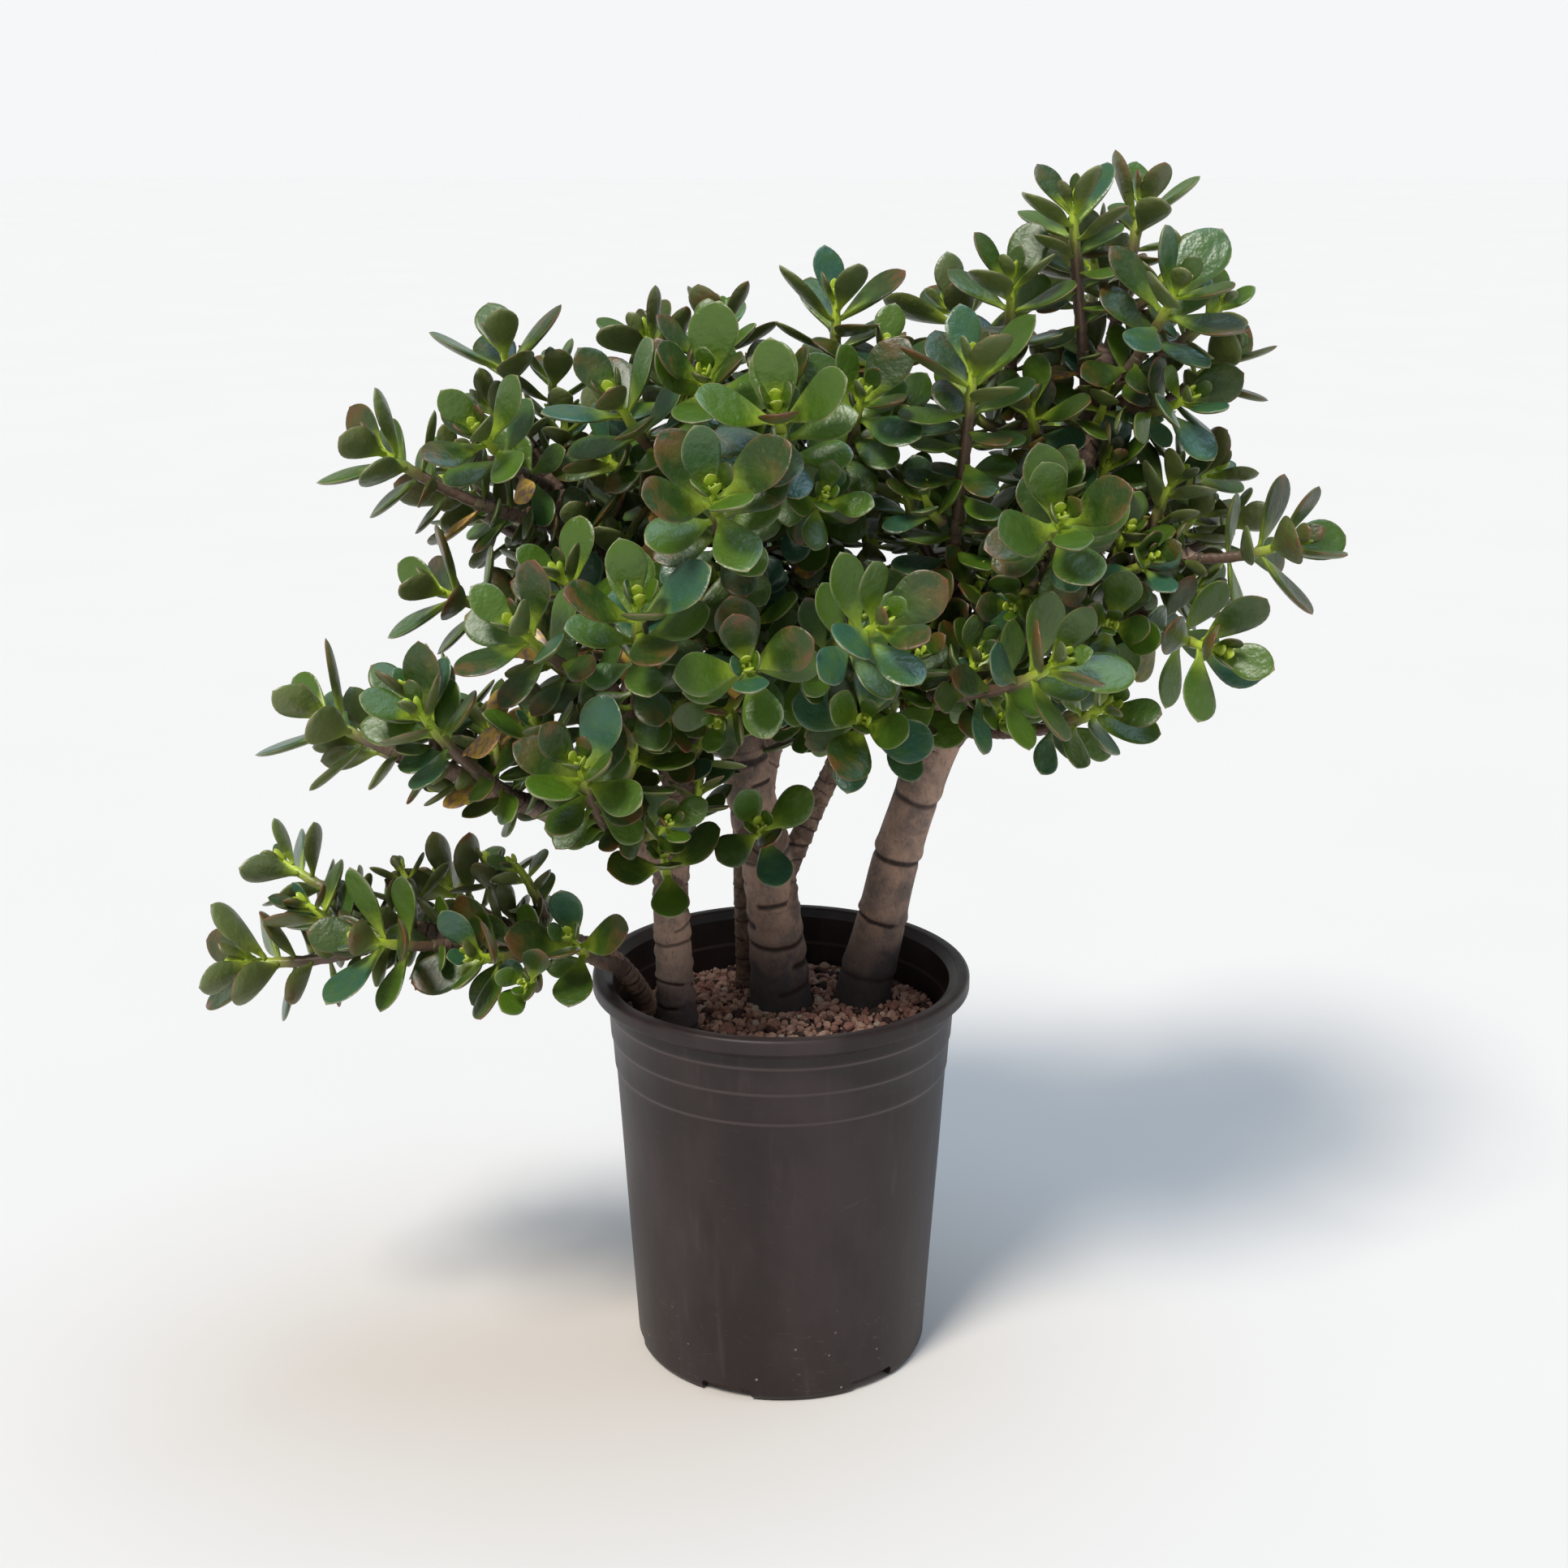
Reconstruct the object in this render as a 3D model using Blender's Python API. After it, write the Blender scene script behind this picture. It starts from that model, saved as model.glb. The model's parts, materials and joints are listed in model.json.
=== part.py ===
"""Potted jade plant: a branched succulent shrub with opposite fleshy leaves, in a moulded nursery pot of grit.

Metres, +Z up. The origin is the centre of the pot's underside, and -Y is the front.
"""

import bpy
import bmesh
from math import cos, pi, radians, sin
from mathutils import Matrix, Vector
from mathutils.bvhtree import BVHTree

# ---------------------------------------------------------------- driving dimensions
GAP = 0.0003                # clearance kept between pieces that touch in life

POT_HEIGHT = 0.290
RIM_RADIUS = 0.135          # outside of the rim lip
LIP_HEIGHT = 0.011
LIP_REACH = 0.0095          # how far the lip stands out from the wall
LIP_ROUND = 0.002           # rounding of the lip's corners
WALL = 0.0025
FLOOR = 0.003
FOOT_HEIGHT = 0.015         # height of the rounded foot
FOOT_INSET = 0.0025         # how far the flat underside stands in from the wall above the foot
TAPER = 0.0605              # radius lost per metre of height
BAND_STEP = 0.0009          # each moulded band stands this much further out than the one below
BAND_DROPS = (0.069, 0.046, 0.026)      # band edges, below the top of the rim
POT_SIDES = 42

NOTCH_COUNT = 6
NOTCH_WIDTH = 0.038
NOTCH_HEIGHT = 0.009
NOTCH_DEPTH = 0.014         # radial depth of each drainage notch, in from the wall
NOTCH_TURN = radians(-112)  # direction of the first notch
NOTCH_OVERRUN = 0.02        # how far the notch cutter reaches outside the wall

MIX_DROP = 0.042            # mix surface below the top of the rim
MIX_CROWN = 0.003           # how much higher the mix is in the middle than at the wall
ROOTED = 0.070              # how deep the trunks go into the mix

PLANT_HEIGHT = 0.565        # from the rim to the top of the crown
DRAWN_HEIGHT = 0.565        # the height and rim radius that the branch plan below is drawn for
DRAWN_RIM = 0.135
RIM_ROOM = 0.030            # band inside the rim that the stems keep clear of, at any size of pot

STEM_GIRTH = 1.0            # multiplies every woody radius
TWIG_RADIUS = 0.0046
SHOOT_RADIUS = 0.0036       # green shoot, at its foot
SHOOT_TIP = 0.0016
LEAF_LENGTH = 0.052
LEAF_WIDTH = 0.030
LEAF_THICKNESS = 0.0066
INTERNODE = 0.0118          # between leaf pairs, low on a shoot

# ---------------------------------------------------------------- branch plan
# Each trunk: node, radius at the mix, radius at its end, place in the mix (x, y), then points (x, y, above the rim).
TRUNKS = {
    "centre": ("stem_centre", 0.0225, 0.0160, (0.000, 0.035),
               [(-0.004, 0.030, 0.020), (-0.010, 0.020, 0.075), (-0.020, 0.010, 0.120), (-0.030, 0.005, 0.180)]),
    "left": ("stem_left", 0.0150, 0.0115, (-0.074, -0.025),
             [(-0.076, -0.029, 0.035), (-0.076, -0.034, 0.085), (-0.066, -0.040, 0.140)]),
    "right": ("stem_right", 0.0200, 0.0155, (0.060, 0.045),
              [(0.073, 0.042, 0.020), (0.086, 0.040, 0.080), (0.108, 0.033, 0.150), (0.125, 0.030, 0.185)]),
    "low_left": ("stem_low_left", 0.0085, 0.0060, (-0.099, 0.016),
                 [(-0.106, -0.004, -0.010), (-0.124, -0.028, 0.021), (-0.150, -0.044, 0.036),
                  (-0.190, -0.054, 0.044), (-0.226, -0.060, 0.048), (-0.262, -0.066, 0.052)]),
    "back": ("stem_back", 0.0070, 0.0055, (-0.027, 0.070),
             [(-0.029, 0.064, 0.045), (-0.030, 0.090, 0.130), (-0.030, 0.125, 0.210), (-0.035, 0.150, 0.270)]),
}
# Each branch: parent limb, how far along it, radius at its start and end, then points (x, y, above the rim).
BRANCHES = {
    "centre_up": ("centre", 1.00, 0.0140, 0.0075,
                  [(-0.030, 0.000, 0.270), (-0.040, 0.000, 0.340), (-0.050, -0.005, 0.385)]),
    "centre_fork": ("centre", 0.80, 0.0120, 0.0070,
                    [(-0.004, 0.032, 0.185), (0.006, 0.032, 0.250), (0.025, 0.022, 0.320), (0.035, 0.012, 0.385)]),
    "centre_side": ("centre", 0.52, 0.0088, 0.0060,
                    [(0.022, 0.036, 0.105), (0.038, 0.036, 0.140), (0.048, 0.000, 0.185), (0.050, -0.050, 0.210)]),
    "centre_front": ("centre_up", 0.12, 0.0090, 0.0060,
                     [(-0.026, -0.050, 0.228), (-0.016, -0.100, 0.262)]),
    "left_up": ("left", 1.00, 0.0110, 0.0062,
                [(-0.062, -0.040, 0.185), (-0.090, -0.026, 0.230), (-0.125, 0.002, 0.300),
                 (-0.160, 0.020, 0.350), (-0.180, 0.022, 0.385)]),
    "left_low": ("left", 0.76, 0.0095, 0.0056,
                 [(-0.092, -0.060, 0.112), (-0.145, -0.098, 0.145), (-0.190, -0.115, 0.170), (-0.232, -0.120, 0.192)]),
    "left_front": ("left", 0.97, 0.0090, 0.0056,
                   [(-0.078, -0.080, 0.182), (-0.100, -0.108, 0.218), (-0.114, -0.120, 0.246)]),
    "left_rear": ("left_up", 0.38, 0.0085, 0.0056,
                  [(-0.120, 0.048, 0.250), (-0.150, 0.092, 0.285)]),
    "right_up": ("right", 1.00, 0.0150, 0.0080,
                 [(0.165, 0.030, 0.265), (0.198, 0.020, 0.345), (0.214, 0.020, 0.397), (0.220, 0.016, 0.440)]),
    "right_side": ("right_up", 0.34, 0.0090, 0.0060,
                   [(0.205, 0.010, 0.284), (0.242, -0.012, 0.298), (0.274, -0.030, 0.308)]),
    "right_front": ("right", 0.90, 0.0090, 0.0060,
                    [(0.116, -0.020, 0.202), (0.102, -0.080, 0.222), (0.108, -0.118, 0.234)]),
    "right_mid": ("right_up", 0.12, 0.0085, 0.0060,
                  [(0.120, 0.004, 0.246), (0.112, -0.030, 0.292)]),
    "right_rear": ("right_up", 0.22, 0.0090, 0.0060,
                   [(0.172, 0.078, 0.262), (0.190, 0.122, 0.305)]),
    "right_inner": ("right_up", 0.50, 0.0085, 0.0060,
                    [(0.176, 0.020, 0.370), (0.152, 0.014, 0.412)]),
}
# Each shoot: parent limb, how far along it, tip (x, y, above the rim), leaf pairs, leaf size, turn of the top pair.
SHOOTS = {
    "low_left_end": ("low_left", 1.00, (-0.368, -0.074, 0.034), 7, 1.06, 20),
    "low_left_upper": ("low_left", 0.88, (-0.348, -0.022, 0.088), 6, 0.85, 60),
    "low_left_face": ("low_left", 0.80, (-0.276, -0.116, 0.066), 6, 1.06, 75),
    "low_left_mid": ("low_left", 0.62, (-0.206, -0.106, 0.050), 5, 1.00, 20),
    "low_left_rear": ("low_left", 0.66, (-0.240, -0.004, 0.066), 6, 1.00, 45),
    "low_left_inner": ("low_left", 0.44, (-0.142, -0.090, 0.056), 4, 1.00, 0),
    "left_reach": ("left_low", 1.00, (-0.298, -0.120, 0.224), 8, 1.05, 10),
    "left_reach_face": ("left_low", 0.66, (-0.226, -0.170, 0.238), 7, 1.00, 80),
    "left_low_face": ("left_low", 0.32, (-0.124, -0.200, 0.212), 9, 1.00, 60),
    "left_sprout": ("left", 0.70, (-0.078, -0.098, 0.118), 4, 0.90, 20),
    "left_front_face": ("left_front", 1.00, (-0.162, -0.178, 0.294), 7, 1.00, 50),
    "left_front_tall": ("left_front", 0.70, (-0.086, -0.204, 0.314), 9, 1.10, 15),
    "left_inner": ("left_up", 0.34, (-0.142, -0.092, 0.308), 7, 0.90, 70),
    "left_middle": ("left_up", 0.48, (-0.230, -0.052, 0.290), 9, 0.95, 25),
    "left_far": ("left_up", 0.72, (-0.268, -0.030, 0.380), 8, 1.00, 10),
    "left_outer_rear": ("left_up", 0.62, (-0.232, 0.052, 0.338), 7, 0.95, 50),
    "left_high": ("left_up", 0.84, (-0.196, -0.060, 0.396), 6, 0.95, 40),
    "left_top": ("left_up", 1.00, (-0.187, 0.018, 0.440), 6, 1.05, 20),
    "left_rear_end": ("left_rear", 1.00, (-0.195, 0.142, 0.334), 7, 1.00, 30),
    "left_rear_high": ("left_rear", 0.66, (-0.122, 0.150, 0.362), 8, 1.00, 75),
    "centre_sprout": ("centre", 0.70, (-0.014, -0.066, 0.128), 4, 0.90, 35),
    "centre_top_left": ("centre_up", 0.92, (-0.092, 0.016, 0.448), 6, 0.95, 65),
    "centre_left": ("centre_up", 0.72, (-0.106, -0.080, 0.420), 8, 1.05, 20),
    "centre_face": ("centre_up", 0.50, (-0.040, -0.200, 0.382), 11, 1.15, 30),
    "centre_high": ("centre_up", 1.00, (-0.048, -0.100, 0.436), 7, 1.05, 80),
    "centre_near": ("centre_fork", 0.72, (-0.002, -0.164, 0.426), 9, 1.10, 5),
    "centre_right": ("centre_fork", 0.88, (0.052, -0.080, 0.422), 7, 1.00, 50),
    "centre_top": ("centre_fork", 1.00, (0.037, 0.000, 0.474), 7, 1.05, 25),
    "centre_low": ("centre_front", 1.00, (-0.020, -0.204, 0.276), 7, 1.00, 15),
    "centre_low_right": ("centre_front", 0.60, (0.060, -0.204, 0.304), 9, 1.05, 40),
    "centre_side_face": ("centre_side", 1.00, (0.052, -0.160, 0.228), 7, 1.00, 70),
    "centre_side_inner": ("centre_side", 0.76, (0.084, -0.076, 0.212), 5, 0.95, 10),
    "centre_rear": ("centre_fork", 0.46, (0.058, 0.128, 0.330), 8, 1.00, 45),
    "back_top": ("back", 1.00, (-0.040, 0.178, 0.366), 8, 1.00, 15),
    "back_left": ("back", 0.80, (-0.102, 0.170, 0.246), 7, 1.00, 60),
    "back_right": ("back", 0.72, (0.042, 0.172, 0.236), 7, 1.00, 35),
    "right_inner_face": ("right_mid", 1.00, (0.122, -0.084, 0.442), 11, 1.10, 25),
    "right_inner_top": ("right_inner", 0.96, (0.150, -0.020, 0.490), 7, 1.00, 60),
    "right_inner_rear": ("right_inner", 0.94, (0.116, 0.068, 0.462), 6, 1.00, 10),
    "right_top_left": ("right_up", 0.80, (0.190, -0.006, 0.536), 10, 0.95, 45),
    "right_top": ("right_up", 1.00, (0.240, 0.024, 0.538), 7, 0.90, 15),
    "right_top_face": ("right_up", 0.86, (0.252, -0.064, 0.488), 7, 1.10, 55),
    "right_top_rear": ("right_up", 0.90, (0.216, 0.098, 0.486), 7, 1.00, 30),
    "right_high_side": ("right_up", 0.76, (0.296, 0.004, 0.438), 9, 0.95, 70),
    "right_near": ("right_up", 0.50, (0.172, -0.160, 0.358), 10, 1.10, 20),
    "right_side_up": ("right_up", 0.54, (0.298, 0.030, 0.356), 8, 0.85, 50),
    "right_side_end": ("right_side", 0.92, (0.336, -0.062, 0.324), 8, 1.05, 30),
    "right_side_face": ("right_side", 0.50, (0.282, -0.100, 0.260), 8, 1.05, 65),
    "right_side_rear": ("right_side", 0.66, (0.286, 0.084, 0.318), 7, 1.00, 10),
    "right_front_face": ("right_front", 1.00, (0.172, -0.172, 0.270), 8, 1.10, 10),
    "right_front_side": ("right", 0.96, (0.214, -0.094, 0.220), 9, 1.00, 75),
    "right_rear_end": ("right_rear", 1.00, (0.212, 0.176, 0.362), 7, 1.00, 20),
    "right_rear_inner": ("right_rear", 0.62, (0.126, 0.154, 0.306), 7, 1.00, 55),
}

# ---------------------------------------------------------------- how a shoot grows
SHOOT_LIFT = 0.30           # how strongly a shoot turns upwards at its tip
TIP_CROWDING = (0.35, 0.50, 0.70, 0.85)     # internodes near the tip, as shares of INTERNODE
LEAF_AGE = (0.42, 0.80, 1.00, 0.93, 0.82, 0.74, 0.68)  # leaf size from the tip down, as shares of a full leaf
LEAF_PITCH = (24, 38, 52, 64, 72, 78, 84, 88)       # degrees between leaf and shoot, from the tip down
LEAF_SWING = 6              # degrees of natural unevenness
WIDEST = 0.55               # where along it a leaf is widest
BLUNT = 0.54                # width near the leaf's end, as a share of the widest
LEAF_CUP = 0.06             # how far a leaf's end lifts, as a share of its length
# A leaf with something in its way bends aside: (pitch, sideways, size), tried in this order.
SWAYS = (
    (0, 0, 1.0), (12, 0, 1.0), (-12, 0, 1.0), (0, 14, 1.0), (0, -14, 1.0), (24, 0, 1.0), (-22, 0, 1.0),
    (0, 28, 0.95), (0, -28, 0.95), (12, 16, 0.9), (12, -16, 0.9), (-12, 16, 0.9), (-12, -16, 0.9),
    (34, 0, 0.85), (-28, 0, 0.85), (0, 0, 0.75), (24, 20, 0.75), (24, -20, 0.75), (-24, 20, 0.75),
    (-24, -20, 0.75), (0, 0, 0.55), (20, 0, 0.5), (-20, 0, 0.5),
)
LEAF_CLEAR = 0.0004         # room kept round each leaf
CORNERS = ((1, 1), (-1, 1), (-1, -1), (1, -1))      # of the square shoot
TUBE_SIDES = {"trunk": 10, "branch": 7, "twig": 5}
TUBE_SPACING = {"trunk": 2.2, "branch": 3.0, "twig": 6.0}   # between the rings of a tube, in radii
SOCKET_ROOM = GAP * 1.4     # a faceted socket needs a little more than the gap
SMOOTH_TURNED = radians(30)
SMOOTH_WOOD = radians(50)

# ---------------------------------------------------------------- worked-out sizes
WALL_TOP_RADIUS = RIM_RADIUS - LIP_REACH - BAND_STEP * len(BAND_DROPS)
MIX_TOP = POT_HEIGHT - MIX_DROP


def wall_radius(z):
    """Outside radius of the plain tapered wall at height z."""
    return WALL_TOP_RADIUS - TAPER * (POT_HEIGHT - LIP_HEIGHT - z)


def bore_radius(z):
    """Inside radius of the pot at height z."""
    return wall_radius(z) - WALL


def place(x, y, above_rim):
    """A point of the branch plan, fitted to this pot and this height of plant."""
    spread = (RIM_RADIUS - RIM_ROOM) / (DRAWN_RIM - RIM_ROOM)
    rise = PLANT_HEIGHT / DRAWN_HEIGHT
    return Vector((x * spread, y * spread, POT_HEIGHT + above_rim * rise))


# ---------------------------------------------------------------- scene helpers
def clear_scene():
    for thing in list(bpy.data.objects):
        bpy.data.objects.remove(thing, do_unlink=True)


def material(name, colour, roughness, metallic=0.0):
    made = bpy.data.materials.new(name)
    made.use_nodes = True
    shader = made.node_tree.nodes["Principled BSDF"]
    shader.inputs["Base Color"].default_value = (*colour, 1.0)
    shader.inputs["Roughness"].default_value = roughness
    shader.inputs["Metallic"].default_value = metallic
    return made


def new_object(name, points, faces, finish, smooth_angle=None):
    """A mesh object from points and faces, with every face turned outwards."""
    mesh = bpy.data.meshes.new(name)
    mesh.from_pydata([tuple(p) for p in points], [], faces)
    shaper = bmesh.new()
    shaper.from_mesh(mesh)
    bmesh.ops.recalc_face_normals(shaper, faces=shaper.faces)
    shaper.to_mesh(mesh)
    shaper.free()
    if smooth_angle is not None:
        mesh.shade_smooth()
        mesh.set_sharp_from_angle(angle=smooth_angle)
    mesh.materials.append(finish)
    made = bpy.data.objects.new(name, mesh)
    bpy.context.scene.collection.objects.link(made)
    return made


def turned(name, profile, finish):
    """A solid turned about Z from a profile (radius, height) that starts and ends on the axis."""
    shaper = bmesh.new()
    ring = [shaper.verts.new((radius, 0, height)) for radius, height in profile]
    edges = [shaper.edges.new(pair) for pair in zip(ring, ring[1:])]
    bmesh.ops.spin(shaper, geom=ring + edges, cent=(0, 0, 0), axis=(0, 0, 1), dvec=(0, 0, 0),
                   angle=2 * pi, steps=POT_SIDES, use_merge=True)
    bmesh.ops.remove_doubles(shaper, verts=shaper.verts, dist=1e-6)
    bmesh.ops.recalc_face_normals(shaper, faces=shaper.faces)
    mesh = bpy.data.meshes.new(name)
    shaper.to_mesh(mesh)
    shaper.free()
    mesh.shade_smooth()
    mesh.set_sharp_from_angle(angle=SMOOTH_TURNED)
    mesh.materials.append(finish)
    made = bpy.data.objects.new(name, mesh)
    bpy.context.scene.collection.objects.link(made)
    return made


def combine(base, operation, tools, label):
    """Join tools to base, or cut them from it. The tools stay as hidden guides in one collection."""
    guides = bpy.data.collections.new(label)
    bpy.context.scene.collection.children.link(guides)
    for tool in tools:
        for home in list(tool.users_collection):
            home.objects.unlink(tool)
        guides.objects.link(tool)
        tool.hide_render = True
        tool.display_type = "WIRE"
    change = base.modifiers.new(label, "BOOLEAN")
    change.operation = operation
    change.operand_type = "COLLECTION"
    change.collection = guides
    change.solver = "EXACT"


# ---------------------------------------------------------------- paths and tubes
class Path:
    """A curve that can be asked for its place and direction at any distance along it."""

    def __init__(self, points):
        self.points = points
        self.reach = [0.0]
        for a, b in zip(points, points[1:]):
            self.reach.append(self.reach[-1] + (b - a).length)
        self.length = self.reach[-1]

    def at(self, distance):
        distance = min(max(distance, 0.0), self.length)
        piece = 0
        while piece < len(self.points) - 2 and self.reach[piece + 1] < distance:
            piece += 1
        a, b = self.points[piece], self.points[piece + 1]
        share = (distance - self.reach[piece]) / (self.reach[piece + 1] - self.reach[piece])
        return a.lerp(b, share)

    def heading(self, distance):
        step = 0.002
        return (self.at(distance + step) - self.at(distance - step)).normalized()


def smooth_path(points, pieces=10):
    """A Catmull-Rom curve through the points."""
    ends = [points[0] * 2 - points[1]] + points + [points[-1] * 2 - points[-2]]
    curve = []
    for a, b, c, d in zip(ends, ends[1:], ends[2:], ends[3:]):
        for step in range(pieces):
            t = step / pieces
            curve.append(0.5 * (2 * b + (c - a) * t + (2 * a - 5 * b + 4 * c - d) * t * t
                                + (3 * b - a - 3 * c + d) * t * t * t))
    return Path(curve + [points[-1]])


def tube(name, path, distances, radii, sides, finish, grow=0.0):
    """A closed tube round a path, with a ring at each distance. grow makes it fatter, and as much longer."""
    points, faces = [], []
    heading = path.heading(distances[0])
    side = heading.orthogonal().normalized()
    for number, (distance, radius) in enumerate(zip(distances, radii)):
        heading = path.heading(distance)
        side = (side - heading * side.dot(heading)).normalized()
        other = heading.cross(side)
        centre = path.at(distance)
        if number == 0:
            centre = centre - heading * grow
        for corner in range(sides):
            turn = 2 * pi * corner / sides
            points.append(centre + (side * cos(turn) + other * sin(turn)) * (radius + grow))
        if number:
            first = (number - 1) * sides
            for corner in range(sides):
                following = (corner + 1) % sides
                faces.append((first + corner, first + following, first + sides + following, first + sides + corner))
    faces.append(tuple(range(sides)))
    faces.append(tuple(range(len(points) - sides, len(points))))
    return new_object(name, points, faces, finish, SMOOTH_WOOD)


def ring_places(start, end, spacing):
    count = max(1, round((end - start) / spacing))
    return [start + (end - start) * step / count for step in range(count + 1)]


# ---------------------------------------------------------------- pot and mix
def make_pot(finish):
    lip_foot = POT_HEIGHT - LIP_HEIGHT
    foot = wall_radius(FOOT_HEIGHT)
    outside = [(0, 0), (foot - FOOT_INSET, 0), (foot - FOOT_INSET * 0.3, FOOT_HEIGHT * 0.4), (foot, FOOT_HEIGHT)]
    stands_out = 0.0
    for drop in BAND_DROPS:
        edge = POT_HEIGHT - drop
        outside.append((wall_radius(edge) + stands_out, edge))
        stands_out += BAND_STEP
        outside.append((wall_radius(edge) + stands_out, edge + BAND_STEP))
    lip = [(RIM_RADIUS - LIP_REACH, lip_foot), (RIM_RADIUS - LIP_ROUND, lip_foot), (RIM_RADIUS, lip_foot + LIP_ROUND),
           (RIM_RADIUS, POT_HEIGHT - LIP_ROUND), (RIM_RADIUS - LIP_ROUND, POT_HEIGHT),
           (RIM_RADIUS - LIP_REACH + LIP_ROUND / 2, POT_HEIGHT)]
    bore_foot = FLOOR + WALL
    inside = [(bore_radius(POT_HEIGHT - LIP_HEIGHT / 2), POT_HEIGHT - LIP_HEIGHT / 2),
              (bore_radius(bore_foot + WALL), bore_foot + WALL), (bore_radius(bore_foot) - WALL, FLOOR), (0, FLOOR)]
    pot = turned("pot", outside + lip + inside, finish)
    notches = []
    reach = NOTCH_DEPTH + NOTCH_OVERRUN
    for number in range(NOTCH_COUNT):
        bpy.ops.mesh.primitive_cube_add(size=1)
        notch = bpy.context.object
        notch.name = f"notch_guide_{number + 1}"
        notch.data.transform(Matrix.Diagonal((reach, NOTCH_WIDTH, 2 * NOTCH_HEIGHT, 1)))
        turn = NOTCH_TURN + 2 * pi * number / NOTCH_COUNT
        middle = foot - NOTCH_DEPTH + reach / 2
        notch.data.transform(Matrix.Rotation(turn, 4, "Z") @ Matrix.Translation((middle, 0, 0)))
        notches.append(notch)
    combine(pot, "DIFFERENCE", notches, "drainage_notches")
    return pot


def make_mix(finish, sockets):
    low = FLOOR + GAP
    corner = FLOOR + 2 * WALL
    profile = [(0, low), (bore_radius(FLOOR + WALL) - WALL - 2 * GAP, low), (bore_radius(corner) - GAP, corner + GAP),
               (bore_radius(MIX_TOP) - GAP, MIX_TOP), (bore_radius(MIX_TOP) * 0.6, MIX_TOP + MIX_CROWN * 0.6),
               (0, MIX_TOP + MIX_CROWN)]
    mix = turned("potting_mix", profile, finish)
    combine(mix, "DIFFERENCE", sockets, "trunk_sockets")
    return mix


# ---------------------------------------------------------------- limbs
def limb_paths():
    """Every trunk and branch as (stem node, path, radius at start, radius at end, kind)."""
    limbs = {}
    for name, (stem, start_radius, end_radius, (x, y), points) in TRUNKS.items():
        ground = place(x, y, 0)
        ground.z = MIX_TOP
        root = ground - Vector((0, 0, ROOTED))
        path = smooth_path([root, ground] + [place(*point) for point in points])
        limbs[name] = (stem, path, start_radius * STEM_GIRTH, end_radius * STEM_GIRTH, "trunk")
    for name, (parent, share, start_radius, end_radius, points) in BRANCHES.items():
        stem, parent_path, _, parent_radius, _ = limbs[parent]
        start = parent_path.at(min(share * parent_path.length, parent_path.length - parent_radius))
        path = smooth_path([start] + [place(*point) for point in points])
        limbs[name] = (stem, path, start_radius * STEM_GIRTH, end_radius * STEM_GIRTH, "branch")
    return limbs


def shoot_length(pairs):
    """Length of a shoot's leafy part: half an internode above the top pair, and half below the lowest."""
    steps = [INTERNODE * share for share in TIP_CROWDING[:pairs]]
    return sum(steps) + INTERNODE * max(0, pairs - len(TIP_CROWDING))


def shoot_path(limbs, parent, share, tip):
    """The curve from the parent limb's axis to the shoot's tip, turning upwards on the way."""
    _, parent_path, _, parent_radius, _ = limbs[parent]
    start = parent_path.at(min(share * parent_path.length, parent_path.length - parent_radius))
    end = place(*tip)
    reach = (end - start).length
    heading = ((end - start).normalized() + Vector((0, 0, SHOOT_LIFT))).normalized()
    bend = end - heading * reach * 0.5
    curve = []
    for step in range(25):
        t = step / 24
        curve.append(start * (1 - t) ** 2 + bend * 2 * t * (1 - t) + end * t * t)
    return Path(curve)


def make_stems(limbs, shoots, finish):
    """One woody body for each trunk, with its branches and twigs joined to it."""
    bases, joined = {}, {}
    for name, (stem, path, start_radius, end_radius, kind) in limbs.items():
        distances = ring_places(0.0, path.length, TUBE_SPACING[kind] * start_radius)
        radii = [start_radius + (end_radius - start_radius) * d / path.length for d in distances]
        label = stem if kind == "trunk" else f"{name}_guide"
        wood = tube(label, path, distances, radii, TUBE_SIDES[kind], finish)
        if kind == "trunk":
            bases[stem] = wood
            joined[stem] = []
        else:
            joined[stem].append(wood)
    for name, shoot in shoots.items():
        stem = limbs[shoot["parent"]][0]
        distances = ring_places(0.0, shoot["foot"] - GAP, TUBE_SPACING["twig"] * TWIG_RADIUS)
        radii = [TWIG_RADIUS * STEM_GIRTH for _ in distances]
        joined[stem].append(tube(f"{name}_twig_guide", shoot["path"], distances, radii, TUBE_SIDES["twig"], finish))
    for stem, base in bases.items():
        combine(base, "UNION", joined[stem], f"{stem}_branches")
    return bases, joined


def make_sockets(limbs, finish):
    """The spaces that the rooted ends of the trunks fill in the mix."""
    sockets = []
    for name, (stem, path, start_radius, end_radius, kind) in limbs.items():
        if kind != "trunk":
            continue
        distances = ring_places(0.0, path.length, TUBE_SPACING["trunk"] * start_radius)
        radii = [start_radius + (end_radius - start_radius) * d / path.length for d in distances]
        above = next(n for n, d in enumerate(distances) if path.at(d).z > MIX_TOP + MIX_CROWN + start_radius)
        guide = tube(f"{name}_socket_guide", path, distances[:above + 1], radii[:above + 1],
                     TUBE_SIDES["trunk"], finish, grow=SOCKET_ROOM)
        sockets.append(guide)
    return sockets


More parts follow.
